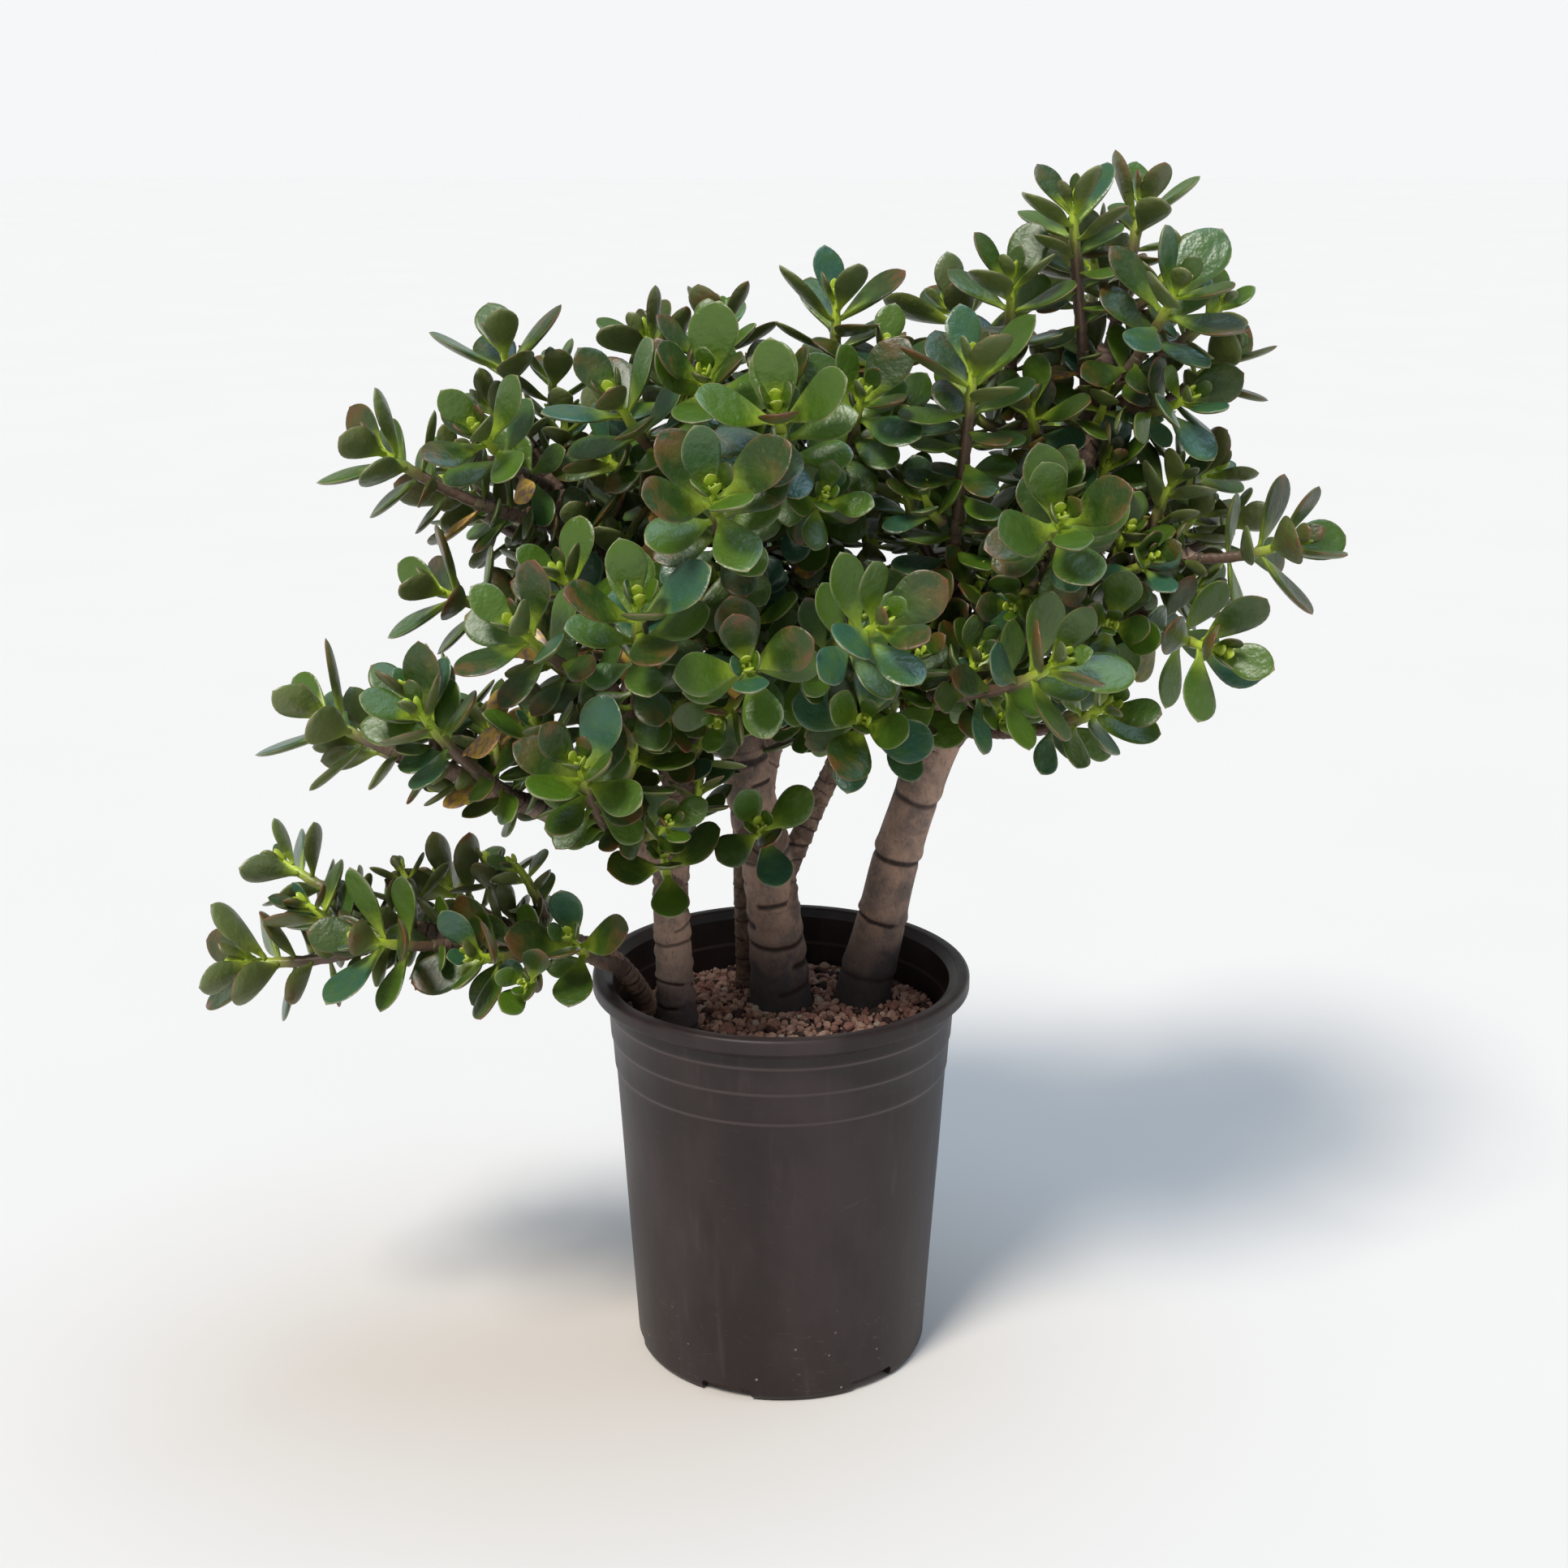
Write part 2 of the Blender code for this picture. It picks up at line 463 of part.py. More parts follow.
# ---------------------------------------------------------------- leaves and shoots
def plan_shoots(limbs):
    """Where each shoot runs, with the square frame that its leaf pairs stand on."""
    shoots = {}
    for number, (name, (parent, share, tip, pairs, size, turn)) in enumerate(SHOOTS.items()):
        path = shoot_path(limbs, parent, share, tip)
        shortest_twig = limbs[parent][2] + 2 * TWIG_RADIUS
        while shoot_length(pairs) > path.length - shortest_twig:
            pairs -= 1
        rings = [path.length - shoot_length(count) for count in range(pairs + 1)]
        heading = path.heading(path.length)
        side = Vector((1, 0, 0))
        side = (side - heading * side.dot(heading)).normalized()
        side = Matrix.Rotation(radians(turn), 3, heading) @ side
        frames = []
        for distance in rings:
            heading = path.heading(distance)
            side = (side - heading * side.dot(heading)).normalized()
            frames.append((path.at(distance), heading, side.copy(), heading.cross(side)))
        shoots[name] = {"parent": parent, "path": path, "foot": rings[-1], "frames": frames, "pairs": pairs,
                        "size": size, "number": number, "leaves": {}}
    return shoots


def shoot_radius(ring):
    """Half the width of the square shoot at a ring, counted from the tip down."""
    return SHOOT_TIP + (SHOOT_RADIUS - SHOOT_TIP) * min(1.0, ring / 4)


def leaf_frame(shoot, pair, side_sign, sway):
    """Foot, length direction, width direction, upper normal and length of one leaf."""
    pitch_change, sideways, scale = sway
    upper, lower = shoot["frames"][pair], shoot["frames"][pair + 1]
    heading = (upper[1] + lower[1]).normalized()
    out, across = (upper[2], upper[3]) if pair % 2 == 0 else (upper[3], -upper[2])
    radius = (shoot_radius(pair) + shoot_radius(pair + 1)) / 2
    foot = (upper[0] + lower[0]) / 2 + out * side_sign * radius
    uneven = sin(2.4 * pair + 1.7 * shoot["number"] + side_sign)
    pitch = radians(LEAF_PITCH[min(pair, len(LEAF_PITCH) - 1)] + LEAF_SWING * uneven + pitch_change)
    outwards = Matrix.Rotation(radians(sideways + LEAF_SWING * cos(3.1 * uneven)), 3, heading) @ (out * side_sign)
    along = heading * cos(pitch) + outwards * sin(pitch)
    normal = heading * sin(pitch) - outwards * cos(pitch)
    width_way = normal.cross(along)
    length = LEAF_LENGTH * shoot["size"] * LEAF_AGE[min(pair, len(LEAF_AGE) - 1)] * scale
    return foot, along, width_way, normal, length


def leaf_points(frame, grow=0.0):
    """The widest ring (left, top, right, bottom) and the two corners of the blunt end."""
    foot, along, width_way, normal, length = frame
    half_width = LEAF_WIDTH / LEAF_LENGTH * length / 2
    half_thick = LEAF_THICKNESS / 2 * (0.35 + 0.65 * min(1.0, length / LEAF_LENGTH))
    middle = foot + along * length * WIDEST
    end = foot + along * (length + grow) + normal * length * LEAF_CUP
    return [middle - width_way * (half_width + grow), middle + normal * (half_thick + grow),
            middle + width_way * (half_width + grow), middle - normal * (half_thick + grow),
            end - width_way * (half_width * BLUNT + grow), end + width_way * (half_width * BLUNT + grow)]


def hull_tree(root, frame):
    """A search tree of one slightly enlarged leaf that starts from the four points of root."""
    points = root + leaf_points(frame, LEAF_CLEAR)
    faces = [(0, 1, 2), (0, 2, 3)]
    for a in range(4):
        b = (a + 1) % 4
        faces += [(a, b, 4 + b), (a, 4 + b, 4 + a)]
    faces += [(4, 5, 8), (5, 9, 8), (5, 6, 9), (6, 7, 9), (7, 8, 9), (7, 4, 8)]
    return BVHTree.FromPolygons(points, faces)


def leaf_trial(shoot, pair, frame):
    """What a leaf is tested with: the whole leaf, and one without its foot for neighbours on the same shoot."""
    foot, along, width_way, normal, length = frame
    upper, lower = shoot["frames"][pair][0], shoot["frames"][pair + 1][0]
    radius = shoot_radius(pair + 1) + LEAF_CLEAR
    half = (upper - lower) / 2 + (upper - lower).normalized() * LEAF_CLEAR
    inside = foot - (foot - (upper + lower) / 2) * 0.2
    whole = [inside - width_way * radius + half, inside + width_way * radius + half,
             inside + width_way * radius - half, inside - width_way * radius - half]
    neck = foot + along * min(0.18 * length, 0.006)
    slim = SHOOT_TIP
    bare = [neck - width_way * slim, neck + normal * slim, neck + width_way * slim, neck - normal * slim]
    return {"owner": shoot["number"], "centre": foot + along * length * 0.5, "reach": length * 0.62,
            "whole": hull_tree(whole, frame), "bare": hull_tree(bare, frame)}


def bare_shoot(shoot):
    """The square stem of a shoot, slightly enlarged, as something for the leaves to keep clear of."""
    points, faces = [], []
    for ring, (centre, _, side, other) in enumerate(shoot["frames"]):
        radius = shoot_radius(ring) + LEAF_CLEAR
        points += [centre + side * radius * a + other * radius * b for a, b in CORNERS]
    for ring in range(shoot["pairs"]):
        for corner in range(4):
            following = (corner + 1) % 4
            start = 4 * ring
            faces.append((start + corner, start + following, start + 4 + following, start + 4 + corner))
    tree = BVHTree.FromPolygons(points, faces)
    ends = shoot["frames"][0][0], shoot["frames"][-1][0]
    return {"owner": shoot["number"], "centre": (ends[0] + ends[1]) / 2,
            "reach": (ends[0] - ends[1]).length * 0.6 + SHOOT_RADIUS, "whole": tree, "bare": tree}


def in_the_way(trial, other):
    if (trial["centre"] - other["centre"]).length > trial["reach"] + other["reach"]:
        return False
    part = "bare" if trial["owner"] == other["owner"] else "whole"
    return bool(trial[part].overlap(other[part]))


def grow_leaves(shoots, wood):
    """Find room for every leaf, from the tips of all the shoots downwards. One with no room isn't grown."""
    standing = [bare_shoot(shoot) for shoot in shoots.values()]
    most_pairs = max(shoot["pairs"] for shoot in shoots.values())
    for pair in range(most_pairs):
        for shoot in shoots.values():
            if pair >= shoot["pairs"]:
                continue
            for side_sign in (1, -1):
                for sway in SWAYS:
                    frame = leaf_frame(shoot, pair, side_sign, sway)
                    trial = leaf_trial(shoot, pair, frame)
                    if trial["whole"].overlap(wood) or any(in_the_way(trial, other) for other in standing):
                        continue
                    standing.append(trial)
                    shoot["leaves"][(pair, side_sign)] = frame
                    break
    return len(standing) - len(shoots)


def make_shoot(name, shoot, finish):
    """One green shoot and its leaves as a single body: a square stem whose faces run out into leaves."""
    points, faces = [], []
    for ring, (centre, _, side, other) in enumerate(shoot["frames"]):
        radius = shoot_radius(ring)
        points += [centre + side * radius * a + other * radius * b for a, b in CORNERS]
    faces.append((0, 1, 2, 3))
    last = 4 * shoot["pairs"]
    faces.append((last, last + 1, last + 2, last + 3))
    bearing = {(0, 1): 3, (0, -1): 1, (1, 1): 0, (1, -1): 2}    # which face of the square each leaf stands on
    for pair in range(shoot["pairs"]):
        top, low = 4 * pair, 4 * pair + 4
        leafy = {bearing[(pair % 2, sign)]: sign for sign in (1, -1) if (pair, sign) in shoot["leaves"]}
        for corner in range(4):
            following = (corner + 1) % 4
            base = [top + corner, top + following, low + following, low + corner]
            if corner not in leafy:
                faces.append(tuple(base))
                continue
            frame = shoot["leaves"][(pair, leafy[corner])]
            left, upper, right, under, left_end, right_end = range(len(points), len(points) + 6)
            points += leaf_points(frame)
            if (points[base[0]] - points[base[1]]).dot(frame[2]) > 0:
                base = [base[1], base[0], base[3], base[2]]
            faces += [(base[0], base[1], upper), (base[1], right, upper), (base[1], base[2], right),
                      (base[2], under, right), (base[2], base[3], under), (base[3], left, under),
                      (base[3], base[0], left), (base[0], upper, left),
                      (left, upper, left_end), (upper, right_end, left_end), (upper, right, right_end),
                      (right, under, right_end), (under, left_end, right_end), (under, left, left_end)]
    return new_object(f"shoot_{name}", points, faces, finish)


def search_tree(things):
    """One search tree of the pot, the mix and all the wood."""
    points, faces = [], []
    for thing in things:
        first = len(points)
        points += [vertex.co.copy() for vertex in thing.data.vertices]
        faces += [tuple(first + corner for corner in face.vertices) for face in thing.data.polygons]
    return BVHTree.FromPolygons(points, faces)


# ---------------------------------------------------------------- the whole plant
def main():
    clear_scene()
    plastic = material("pot_plastic", (0.065, 0.058, 0.058), 0.55)
    grit = material("grit", (0.31, 0.16, 0.13), 0.95)
    bark = material("bark", (0.28, 0.22, 0.19), 0.85)
    leaf_green = material("leaf_green", (0.045, 0.115, 0.03), 0.35)

    limbs = limb_paths()
    shoots = plan_shoots(limbs)
    pot = make_pot(plastic)
    mix = make_mix(grit, make_sockets(limbs, grit))
    bases, joined = make_stems(limbs, shoots, bark)
    wood = list(bases.values()) + [twig for twigs in joined.values() for twig in twigs]
    leaves = grow_leaves(shoots, search_tree([pot, mix] + wood))
    for name, shoot in shoots.items():
        make_shoot(name, shoot, leaf_green)
    print(f"{len(shoots)} shoots with {leaves} leaves")


main()
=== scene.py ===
# %% [markdown]
# # A potted jade plant
# The solid model of the plant and its pot is already packed as a fixed frame: five woody stems, a
# mass of grit, a nursery pot and fifty-three leafy shoots, each one a plain faceted solid. This
# lesson dresses that frame. Every piece below is grown in the very place that the frame gives it,
# in metres, with the pot's underside at the origin.

# %% Load the frame
import bmesh
import bpy
import json
import numpy as np
from math import cos, pi, radians, sin
from mathutils import Matrix, Vector, noise
from mathutils.bvhtree import BVHTree
from mathutils.kdtree import KDTree

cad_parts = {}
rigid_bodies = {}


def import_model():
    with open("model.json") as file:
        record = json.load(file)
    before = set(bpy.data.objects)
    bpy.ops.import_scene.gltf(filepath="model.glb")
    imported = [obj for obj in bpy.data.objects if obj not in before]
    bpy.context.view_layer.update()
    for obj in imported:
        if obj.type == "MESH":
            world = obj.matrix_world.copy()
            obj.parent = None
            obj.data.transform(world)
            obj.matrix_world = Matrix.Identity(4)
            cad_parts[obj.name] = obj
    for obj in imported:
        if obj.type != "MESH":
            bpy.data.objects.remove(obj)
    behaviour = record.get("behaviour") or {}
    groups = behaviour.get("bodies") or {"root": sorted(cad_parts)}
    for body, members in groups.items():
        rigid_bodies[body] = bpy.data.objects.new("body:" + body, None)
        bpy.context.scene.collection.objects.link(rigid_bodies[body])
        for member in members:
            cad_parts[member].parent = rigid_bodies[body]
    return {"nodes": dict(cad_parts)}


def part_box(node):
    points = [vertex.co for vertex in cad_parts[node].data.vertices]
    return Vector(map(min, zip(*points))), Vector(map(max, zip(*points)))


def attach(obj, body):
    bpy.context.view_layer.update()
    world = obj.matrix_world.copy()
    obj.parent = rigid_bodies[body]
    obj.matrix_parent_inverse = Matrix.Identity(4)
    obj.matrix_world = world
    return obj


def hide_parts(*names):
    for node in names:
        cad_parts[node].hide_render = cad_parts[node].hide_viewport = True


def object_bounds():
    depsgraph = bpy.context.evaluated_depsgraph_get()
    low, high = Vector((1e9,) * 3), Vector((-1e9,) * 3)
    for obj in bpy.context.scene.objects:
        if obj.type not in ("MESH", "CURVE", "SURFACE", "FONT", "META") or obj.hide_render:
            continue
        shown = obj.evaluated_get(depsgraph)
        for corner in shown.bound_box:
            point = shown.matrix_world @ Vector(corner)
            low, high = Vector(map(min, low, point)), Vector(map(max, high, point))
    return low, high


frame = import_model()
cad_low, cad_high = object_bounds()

solids = frame["nodes"]
width, depth, height = cad_high - cad_low
print(f"{len(solids)} solids, {width:.3f} x {depth:.3f} x {height:.3f} m")

# %% [markdown]
# ## Sizes that the plant and the pot share
# A fine mesh that stands where a solid stands has to use the same sizes. The outer ones are read
# from the frame, so they can't drift. The small ones, such as the wall's taper or the length of a
# leaf, repeat the design's own values.

# %% Sizes of the pot
pot_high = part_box("pot")[1]
POT_HEIGHT = round(pot_high.z, 4)
RIM_RADIUS = round(pot_high.x, 4)
LIP_HEIGHT = 0.011
LIP_REACH = 0.0095
WALL = 0.0025
FLOOR = 0.003
FOOT_HEIGHT = 0.015
TAPER = 0.0605
BAND_STEP = 0.0009
BAND_DROPS = (0.069, 0.046, 0.026)
WALL_TOP_RADIUS = RIM_RADIUS - LIP_REACH - BAND_STEP * len(BAND_DROPS)
MIX_TOP = POT_HEIGHT - 0.042
MIX_CROWN = 0.003
GAP = 0.0003
print(f"rim {2000 * RIM_RADIUS:.0f} mm across, pot {1000 * POT_HEIGHT:.0f} mm tall")
print(f"the mix reaches {1000 * MIX_TOP:.0f} mm")

# %% Sizes of the wood and the leaves
ROOTED = 0.070
TWIG_RADIUS = 0.0046
SHOOT_RADIUS = 0.0036
SHOOT_TIP = 0.0016
LEAF_LENGTH = 0.052
LEAF_WIDTH = 0.030
LEAF_THICKNESS = 0.0066
INTERNODE = 0.0118
print(f"a full leaf is {1000 * LEAF_LENGTH:.0f} by {1000 * LEAF_WIDTH:.0f} mm")

# %% [markdown]
# ## A heap of points
# Leaves, stones and stalks are made in their hundreds, so a small helper gathers their points and
# faces, with some named numbers for each point. The finishes read those numbers later: how far
# along its leaf a point lies, how old the leaf is, or how deep a stone lies buried. One mesh for
# each shoot is far lighter than one object for each leaf.

# %% The heap
class Heap:
    def __init__(self, *traits):
        self.points = []
        self.faces = []
        self.traits = {trait: [] for trait in traits}
        self.count = 0

    def add(self, points, faces, **values):
        points = np.asarray(points, dtype=float)
        self.points.append(points)
        self.faces += [tuple(int(corner) + self.count for corner in face) for face in faces]
        for trait, kept in self.traits.items():
            numbers = np.asarray(values.get(trait, 0.0), dtype=float)
            kept.append(np.broadcast_to(numbers, (len(points),)))
        self.count += len(points)

    def mesh(self, name, finish, smooth_angle=None):
        made = bpy.data.meshes.new(name)
        made.from_pydata(np.concatenate(self.points).tolist(), [], self.faces)
        shaper = bmesh.new()
        shaper.from_mesh(made)
        bmesh.ops.recalc_face_normals(shaper, faces=shaper.faces)
        shaper.to_mesh(made)
        shaper.free()
        for trait, kept in self.traits.items():
            write_trait(made, trait, np.concatenate(kept))
        if smooth_angle is not None:
            made.shade_smooth()
            made.set_sharp_from_angle(angle=smooth_angle)
        made.materials.append(finish)
        return made


def write_trait(mesh, trait, numbers):
    mesh.attributes.new(trait, "FLOAT", "POINT").data.foreach_set("value", numbers)


def add_piece(name, mesh, slot, *nodes):
    piece = bpy.data.objects.new(name, mesh)
    bpy.context.scene.collection.objects.link(piece)
    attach(piece, "root")
    if nodes:
        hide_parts(*nodes)
    return piece


print("heaps are ready")

# %% [markdown]
# Nearly every shape here is a row of rings: the pot, the grit bed, the stems, the stalks and the
# leaves. Two helpers join the rings with faces. One closes the ends with flat caps, and the other
# draws each end in to a single point.

# %% Faces between rings
def ring_faces(rings, sides, capped=True):
    """Quads between rings of points that follow each other, and a cap on each end."""
    faces = []
    for ring in range(rings - 1):
        for corner in range(sides):
            following = (corner + 1) % sides
            a, b = ring * sides, (ring + 1) * sides
            faces.append((a + corner, a + following, b + following, b + corner))
    if capped:
        faces.append(tuple(range(sides)))
        faces.append(tuple(range((rings - 1) * sides, rings * sides)))
    return faces


def pointed_faces(rings, sides, start, first_end, last_end):
    """Quads between rings that begin at point number start, drawn in to a point at each end."""
    quads = ring_faces(rings, sides, capped=False)
    faces = [tuple(corner + start for corner in quad) for quad in quads]
    last = start + (rings - 1) * sides
    for side in range(sides):
        following = (side + 1) % sides
        faces += [(first_end, start + following, start + side),
                  (last_end, last + side, last + following)]
    return faces


print(f"a closed ring of six sides has {len(pointed_faces(1, 6, 2, 0, 1))} faces")

# %% [markdown]
# ## A recipe for finishes
# Each finish below is a small network of nodes, mixed from noise and from the traits of the points.
# A helper keeps the recipes short and readable: a body colour comes first, and further colours are
# laid over it, each by a share that a pattern gives. Every pattern is measured in metres, so it
# keeps its real scale on each piece.

# %% The recipe helper
class Recipe:
    def __init__(self, name, body):
        self.material = bpy.data.materials.new(name)
        self.material.use_nodes = True
        self.nodes = self.material.node_tree.nodes
        self.links = self.material.node_tree.links
        self.shader = self.nodes["Principled BSDF"]
        self.place = self.nodes.new("ShaderNodeTexCoord").outputs["Object"]
        self.body = body

    def put(self, socket, value):
        if isinstance(value, bpy.types.NodeSocket):
            self.links.new(value, socket)
        elif isinstance(value, tuple) and len(value) == 3 and socket.type == "RGBA":
            socket.default_value = (*value, 1.0)
        else:
            socket.default_value = value

    def trait(self, name):
        node = self.nodes.new("ShaderNodeAttribute")
        node.attribute_name = name
        return node.outputs["Fac"]

    def noise(self, size, detail=3.0, roughness=0.55, warp=0.0, stretch=(1, 1, 1)):
        """Soft noise whose patches are about size metres across."""
        place = self.place
        if stretch != (1, 1, 1):
            mapping = self.nodes.new("ShaderNodeMapping")
            mapping.inputs["Scale"].default_value = stretch
            self.links.new(place, mapping.inputs["Vector"])
            place = mapping.outputs["Vector"]
        node = self.nodes.new("ShaderNodeTexNoise")
        self.links.new(place, node.inputs["Vector"])
        node.inputs["Scale"].default_value = 1 / size
        node.inputs["Detail"].default_value = detail
        node.inputs["Roughness"].default_value = roughness
        node.inputs["Distortion"].default_value = warp
        return node.outputs["Fac"]

    def cells(self, size):
        """The distance to the nearest of many points that lie about size metres apart."""
        node = self.nodes.new("ShaderNodeTexVoronoi")
        self.links.new(self.place, node.inputs["Vector"])
        node.inputs["Scale"].default_value = 1 / size
        return node.outputs["Distance"]

    def height(self):
        node = self.nodes.new("ShaderNodeSeparateXYZ")
        self.links.new(self.place, node.inputs["Vector"])
        return node.outputs["Z"]

    def span(self, value, low, high, new_low=0.0, new_high=1.0):
        """Stretch a number from one span to another, and stop it at the ends."""
        node = self.nodes.new("ShaderNodeMapRange")
        node.interpolation_type = "SMOOTHSTEP"
        self.put(node.inputs["Value"], value)
        limits = {"From Min": low, "From Max": high, "To Min": new_low, "To Max": new_high}
        for socket, limit in limits.items():
            node.inputs[socket].default_value = limit
        return node.outputs["Result"]

    def maths(self, kind, first, second):
        node = self.nodes.new("ShaderNodeMath")
        node.operation = kind
        self.put(node.inputs[0], first)
        self.put(node.inputs[1], second)
        return node.outputs["Value"]

    def times(self, first, second):
        return self.maths("MULTIPLY", first, second)

    def stirred(self, value, pattern, low, high, reach):
        """A number that a pattern pushes up and down by at most reach."""
        return self.maths("ADD", value, self.span(pattern, low, high, -reach, reach))

    def blend(self, share, first, second):
        node = self.nodes.new("ShaderNodeMix")
        node.data_type = "RGBA"
        self.put(node.inputs["Factor"], share)
        colours = [socket for socket in node.inputs if socket.type == "RGBA"]
        self.put(colours[0], first)
        self.put(colours[1], second)
        return next(socket for socket in node.outputs if socket.type == "RGBA")

    def cover(self, share, colour):
        """Lay a share of a colour over what is there."""
        self.body = self.blend(share, self.body, colour)

    def relief(self, *layers):
        """Bumps, each as a pattern and its depth in metres."""
        normal = None
        for pattern, depth in layers:
            node = self.nodes.new("ShaderNodeBump")
            node.inputs["Strength"].default_value = 1.0
            node.inputs["Distance"].default_value = depth
            self.links.new(pattern, node.inputs["Height"])
            if normal is not None:
                self.links.new(normal, node.inputs["Normal"])
            normal = node.outputs["Normal"]
        self.links.new(normal, self.shader.inputs["Normal"])

    def finish(self, **values):
        self.put(self.shader.inputs["Base Color"], self.body)
        for name, value in values.items():
            self.put(self.shader.inputs[name.replace("_", " ")], value)
        return self.material


print("recipes are ready")

# %% [markdown]
# ## The nursery pot's plastic
# The real pot is moulded from recycled plastic: charcoal, slightly brown, with a dull sheen. It is
# never quite even. Broad faint patches come from the moulding, fine grain from the tool, and pale
# dust, scuffs and dried splashes gather low on the wall. A pale line along each moulded band's step
# is a painted highlight, where the step catches the light. Noise of different sizes gives each of
# these its own scale.

# %% Charcoal plastic
CHARCOAL = (0.0190, 0.0125, 0.0125)
WORN_CHARCOAL = (0.036, 0.0255, 0.0255)
DUST = (0.30, 0.25, 0.23)
# Painted highlight: the pale colour where each band's step catches the light
BAND_EDGE_HIGHLIGHT = (0.085, 0.064, 0.061)
DUSTY_UP_TO = 0.10

plastic = Recipe("pot_plastic", CHARCOAL)
cloudy = plastic.noise(0.09, 4.0, 0.6, stretch=(1, 1, 0.5))
streaks = plastic.noise(0.012, 3.0, 0.6, stretch=(1, 1, 0.12))
grain = plastic.noise(0.0006, 2.0)
scuffs = plastic.noise(0.005, 5.0, 0.7, warp=1.5, stretch=(0.35, 0.35, 1))
specks = plastic.cells(0.014)
height_up = plastic.height()
low_down = plastic.span(height_up, DUSTY_UP_TO, 0.0)
plastic.cover(plastic.span(cloudy, 0.38, 0.68), WORN_CHARCOAL)
plastic.cover(plastic.span(streaks, 0.55, 0.80, 0.0, 0.05), DUST)
scuffed = plastic.span(scuffs, 0.60, 0.72)
plastic.cover(plastic.times(scuffed, plastic.span(low_down, 0.0, 1.0, 0.05, 0.22)), DUST)
splashed = plastic.span(specks, 0.075, 0.05)
plastic.cover(plastic.times(splashed, plastic.span(low_down, 0.0, 1.0, 0.0, 0.8)), DUST)
# Painted highlight: a pale line along each moulded band's step, where it catches the light
for drop in BAND_DROPS:
    edge = POT_HEIGHT - drop + BAND_STEP / 2
    apart = plastic.maths("ABSOLUTE", plastic.maths("SUBTRACT", height_up, edge), 0.0)
    plastic.cover(plastic.times(plastic.span(apart, 0.0017, 0.0006), 0.75), BAND_EDGE_HIGHLIGHT)
plastic.relief((cloudy, 0.0012), (grain, 0.00003))
dull = plastic.span(cloudy, 0.3, 0.7, 0.40, 0.52)
pot_plastic = plastic.finish(Roughness=dull, Specular_IOR_Level=0.28)
print("charcoal plastic mixed")

# %% [markdown]
# ## Grit
# The mix is a loose mineral grit: pinkish brown lava and fired clay, a few pale and a few dark
# stones. The gaps between them and the low sides of the stones are painted dark as shade. Every
# stone carries a random number of its own, and the recipe turns that number into a colour. A fine
# noise then makes each stone porous.

# %% Stone colours
BRICK = (0.40, 0.195, 0.155)
SAND = (0.62, 0.385, 0.305)
PALE_STONE = (0.70, 0.57, 0.50)
DARK_STONE = (0.060, 0.036, 0.032)
# Dark colour for the stones' pores, and painted shade in the gaps and under the stones
DAMP_AND_SHADE = (0.030, 0.017, 0.014)

stone = Recipe("grit_mix", BRICK)
kind = stone.trait("kind")
pores = stone.noise(0.0011, 4.0, 0.7)
stained = stone.noise(0.006, 3.0)
stone.cover(stone.span(kind, 0.30, 0.75), SAND)
stone.cover(stone.span(kind, 0.945, 0.965), PALE_STONE)
stone.cover(stone.span(kind, 0.16, 0.12), DARK_STONE)
stone.cover(stone.span(pores, 0.52, 0.30, 0.0, 0.75), DAMP_AND_SHADE)
stone.cover(stone.span(stained, 0.45, 0.75, 0.0, 0.35), BRICK)
# Painted shade: the bed between the stones and the low sides of each stone darken by how buried
# they lie
stone.cover(stone.trait("buried"), DAMP_AND_SHADE)
stone.relief((pores, 0.0006))
grit_mix = stone.finish(Roughness=0.92)
print("grit mixed")

# %% [markdown]
# ## Bark
# A jade stem is soft and smooth-skinned. Its bark is pinkish tan, thinly cracked and flaking, and
# each pair of leaves that fell left a dark line across it. Near the grit the bark turns grey and
# violet, and the youngest wood is still brown-green. The lines are a trait that is worked out when
# the stems are made, so they follow each limb.

# %% Bark colours
TAN_BARK = (0.430, 0.275, 0.198)
GREY_BARK = (0.185, 0.135, 0.115)
VIOLET_BARK = (0.078, 0.066, 0.072)
BROWN_BARK = (0.100, 0.060, 0.038)
GREEN_WOOD = (0.075, 0.085, 0.028)
SCAR = (0.028, 0.015, 0.012)
NEAR_GRIT_FROM, NEAR_GRIT_BELOW = 0.318, 0.268

skin = Recipe("bark", TAN_BARK)
ring = skin.trait("ring")
youth = skin.trait("youth")
rough = skin.trait("rough")
mottled = skin.noise(0.022, 5.0, 0.65)
fibres = skin.noise(0.0030, 4.0, 0.65, stretch=(1, 1, 0.28))
cracks = skin.noise(0.0045, 5.0, 0.72, warp=2.0, stretch=(1, 1, 0.40))
flakes = skin.noise(0.0075, 4.0, 0.6, warp=0.8)
uneven_height = skin.stirred(skin.height(), mottled, 0.0, 1.0, 0.05)
# Grey and violet towards the grit: the bark is darker lower down each trunk
near_grit = skin.span(uneven_height, NEAR_GRIT_FROM, NEAR_GRIT_BELOW)
skin.cover(skin.span(mottled, 0.36, 0.66), GREY_BARK)
skin.cover(skin.span(flakes, 0.58, 0.68, 0.0, 0.45), TAN_BARK)
skin.cover(skin.times(near_grit, skin.span(youth, 0.10, 0.05)), VIOLET_BARK)
skin.cover(skin.span(fibres, 0.48, 0.26, 0.0, 0.55), VIOLET_BARK)
skin.cover(skin.span(youth, 0.35, 0.85, 0.0, 0.85), BROWN_BARK)
skin.cover(skin.span(youth, 0.90, 1.0, 0.0, 0.6), GREEN_WOOD)
skin.cover(skin.span(cracks, 0.40, 0.30, 0.0, 0.7), SCAR)
skin.cover(skin.times(rough, skin.span(flakes, 0.35, 0.6, 0.85, 0.35)), BROWN_BARK)
line = skin.span(ring, 0.12, 0.80)
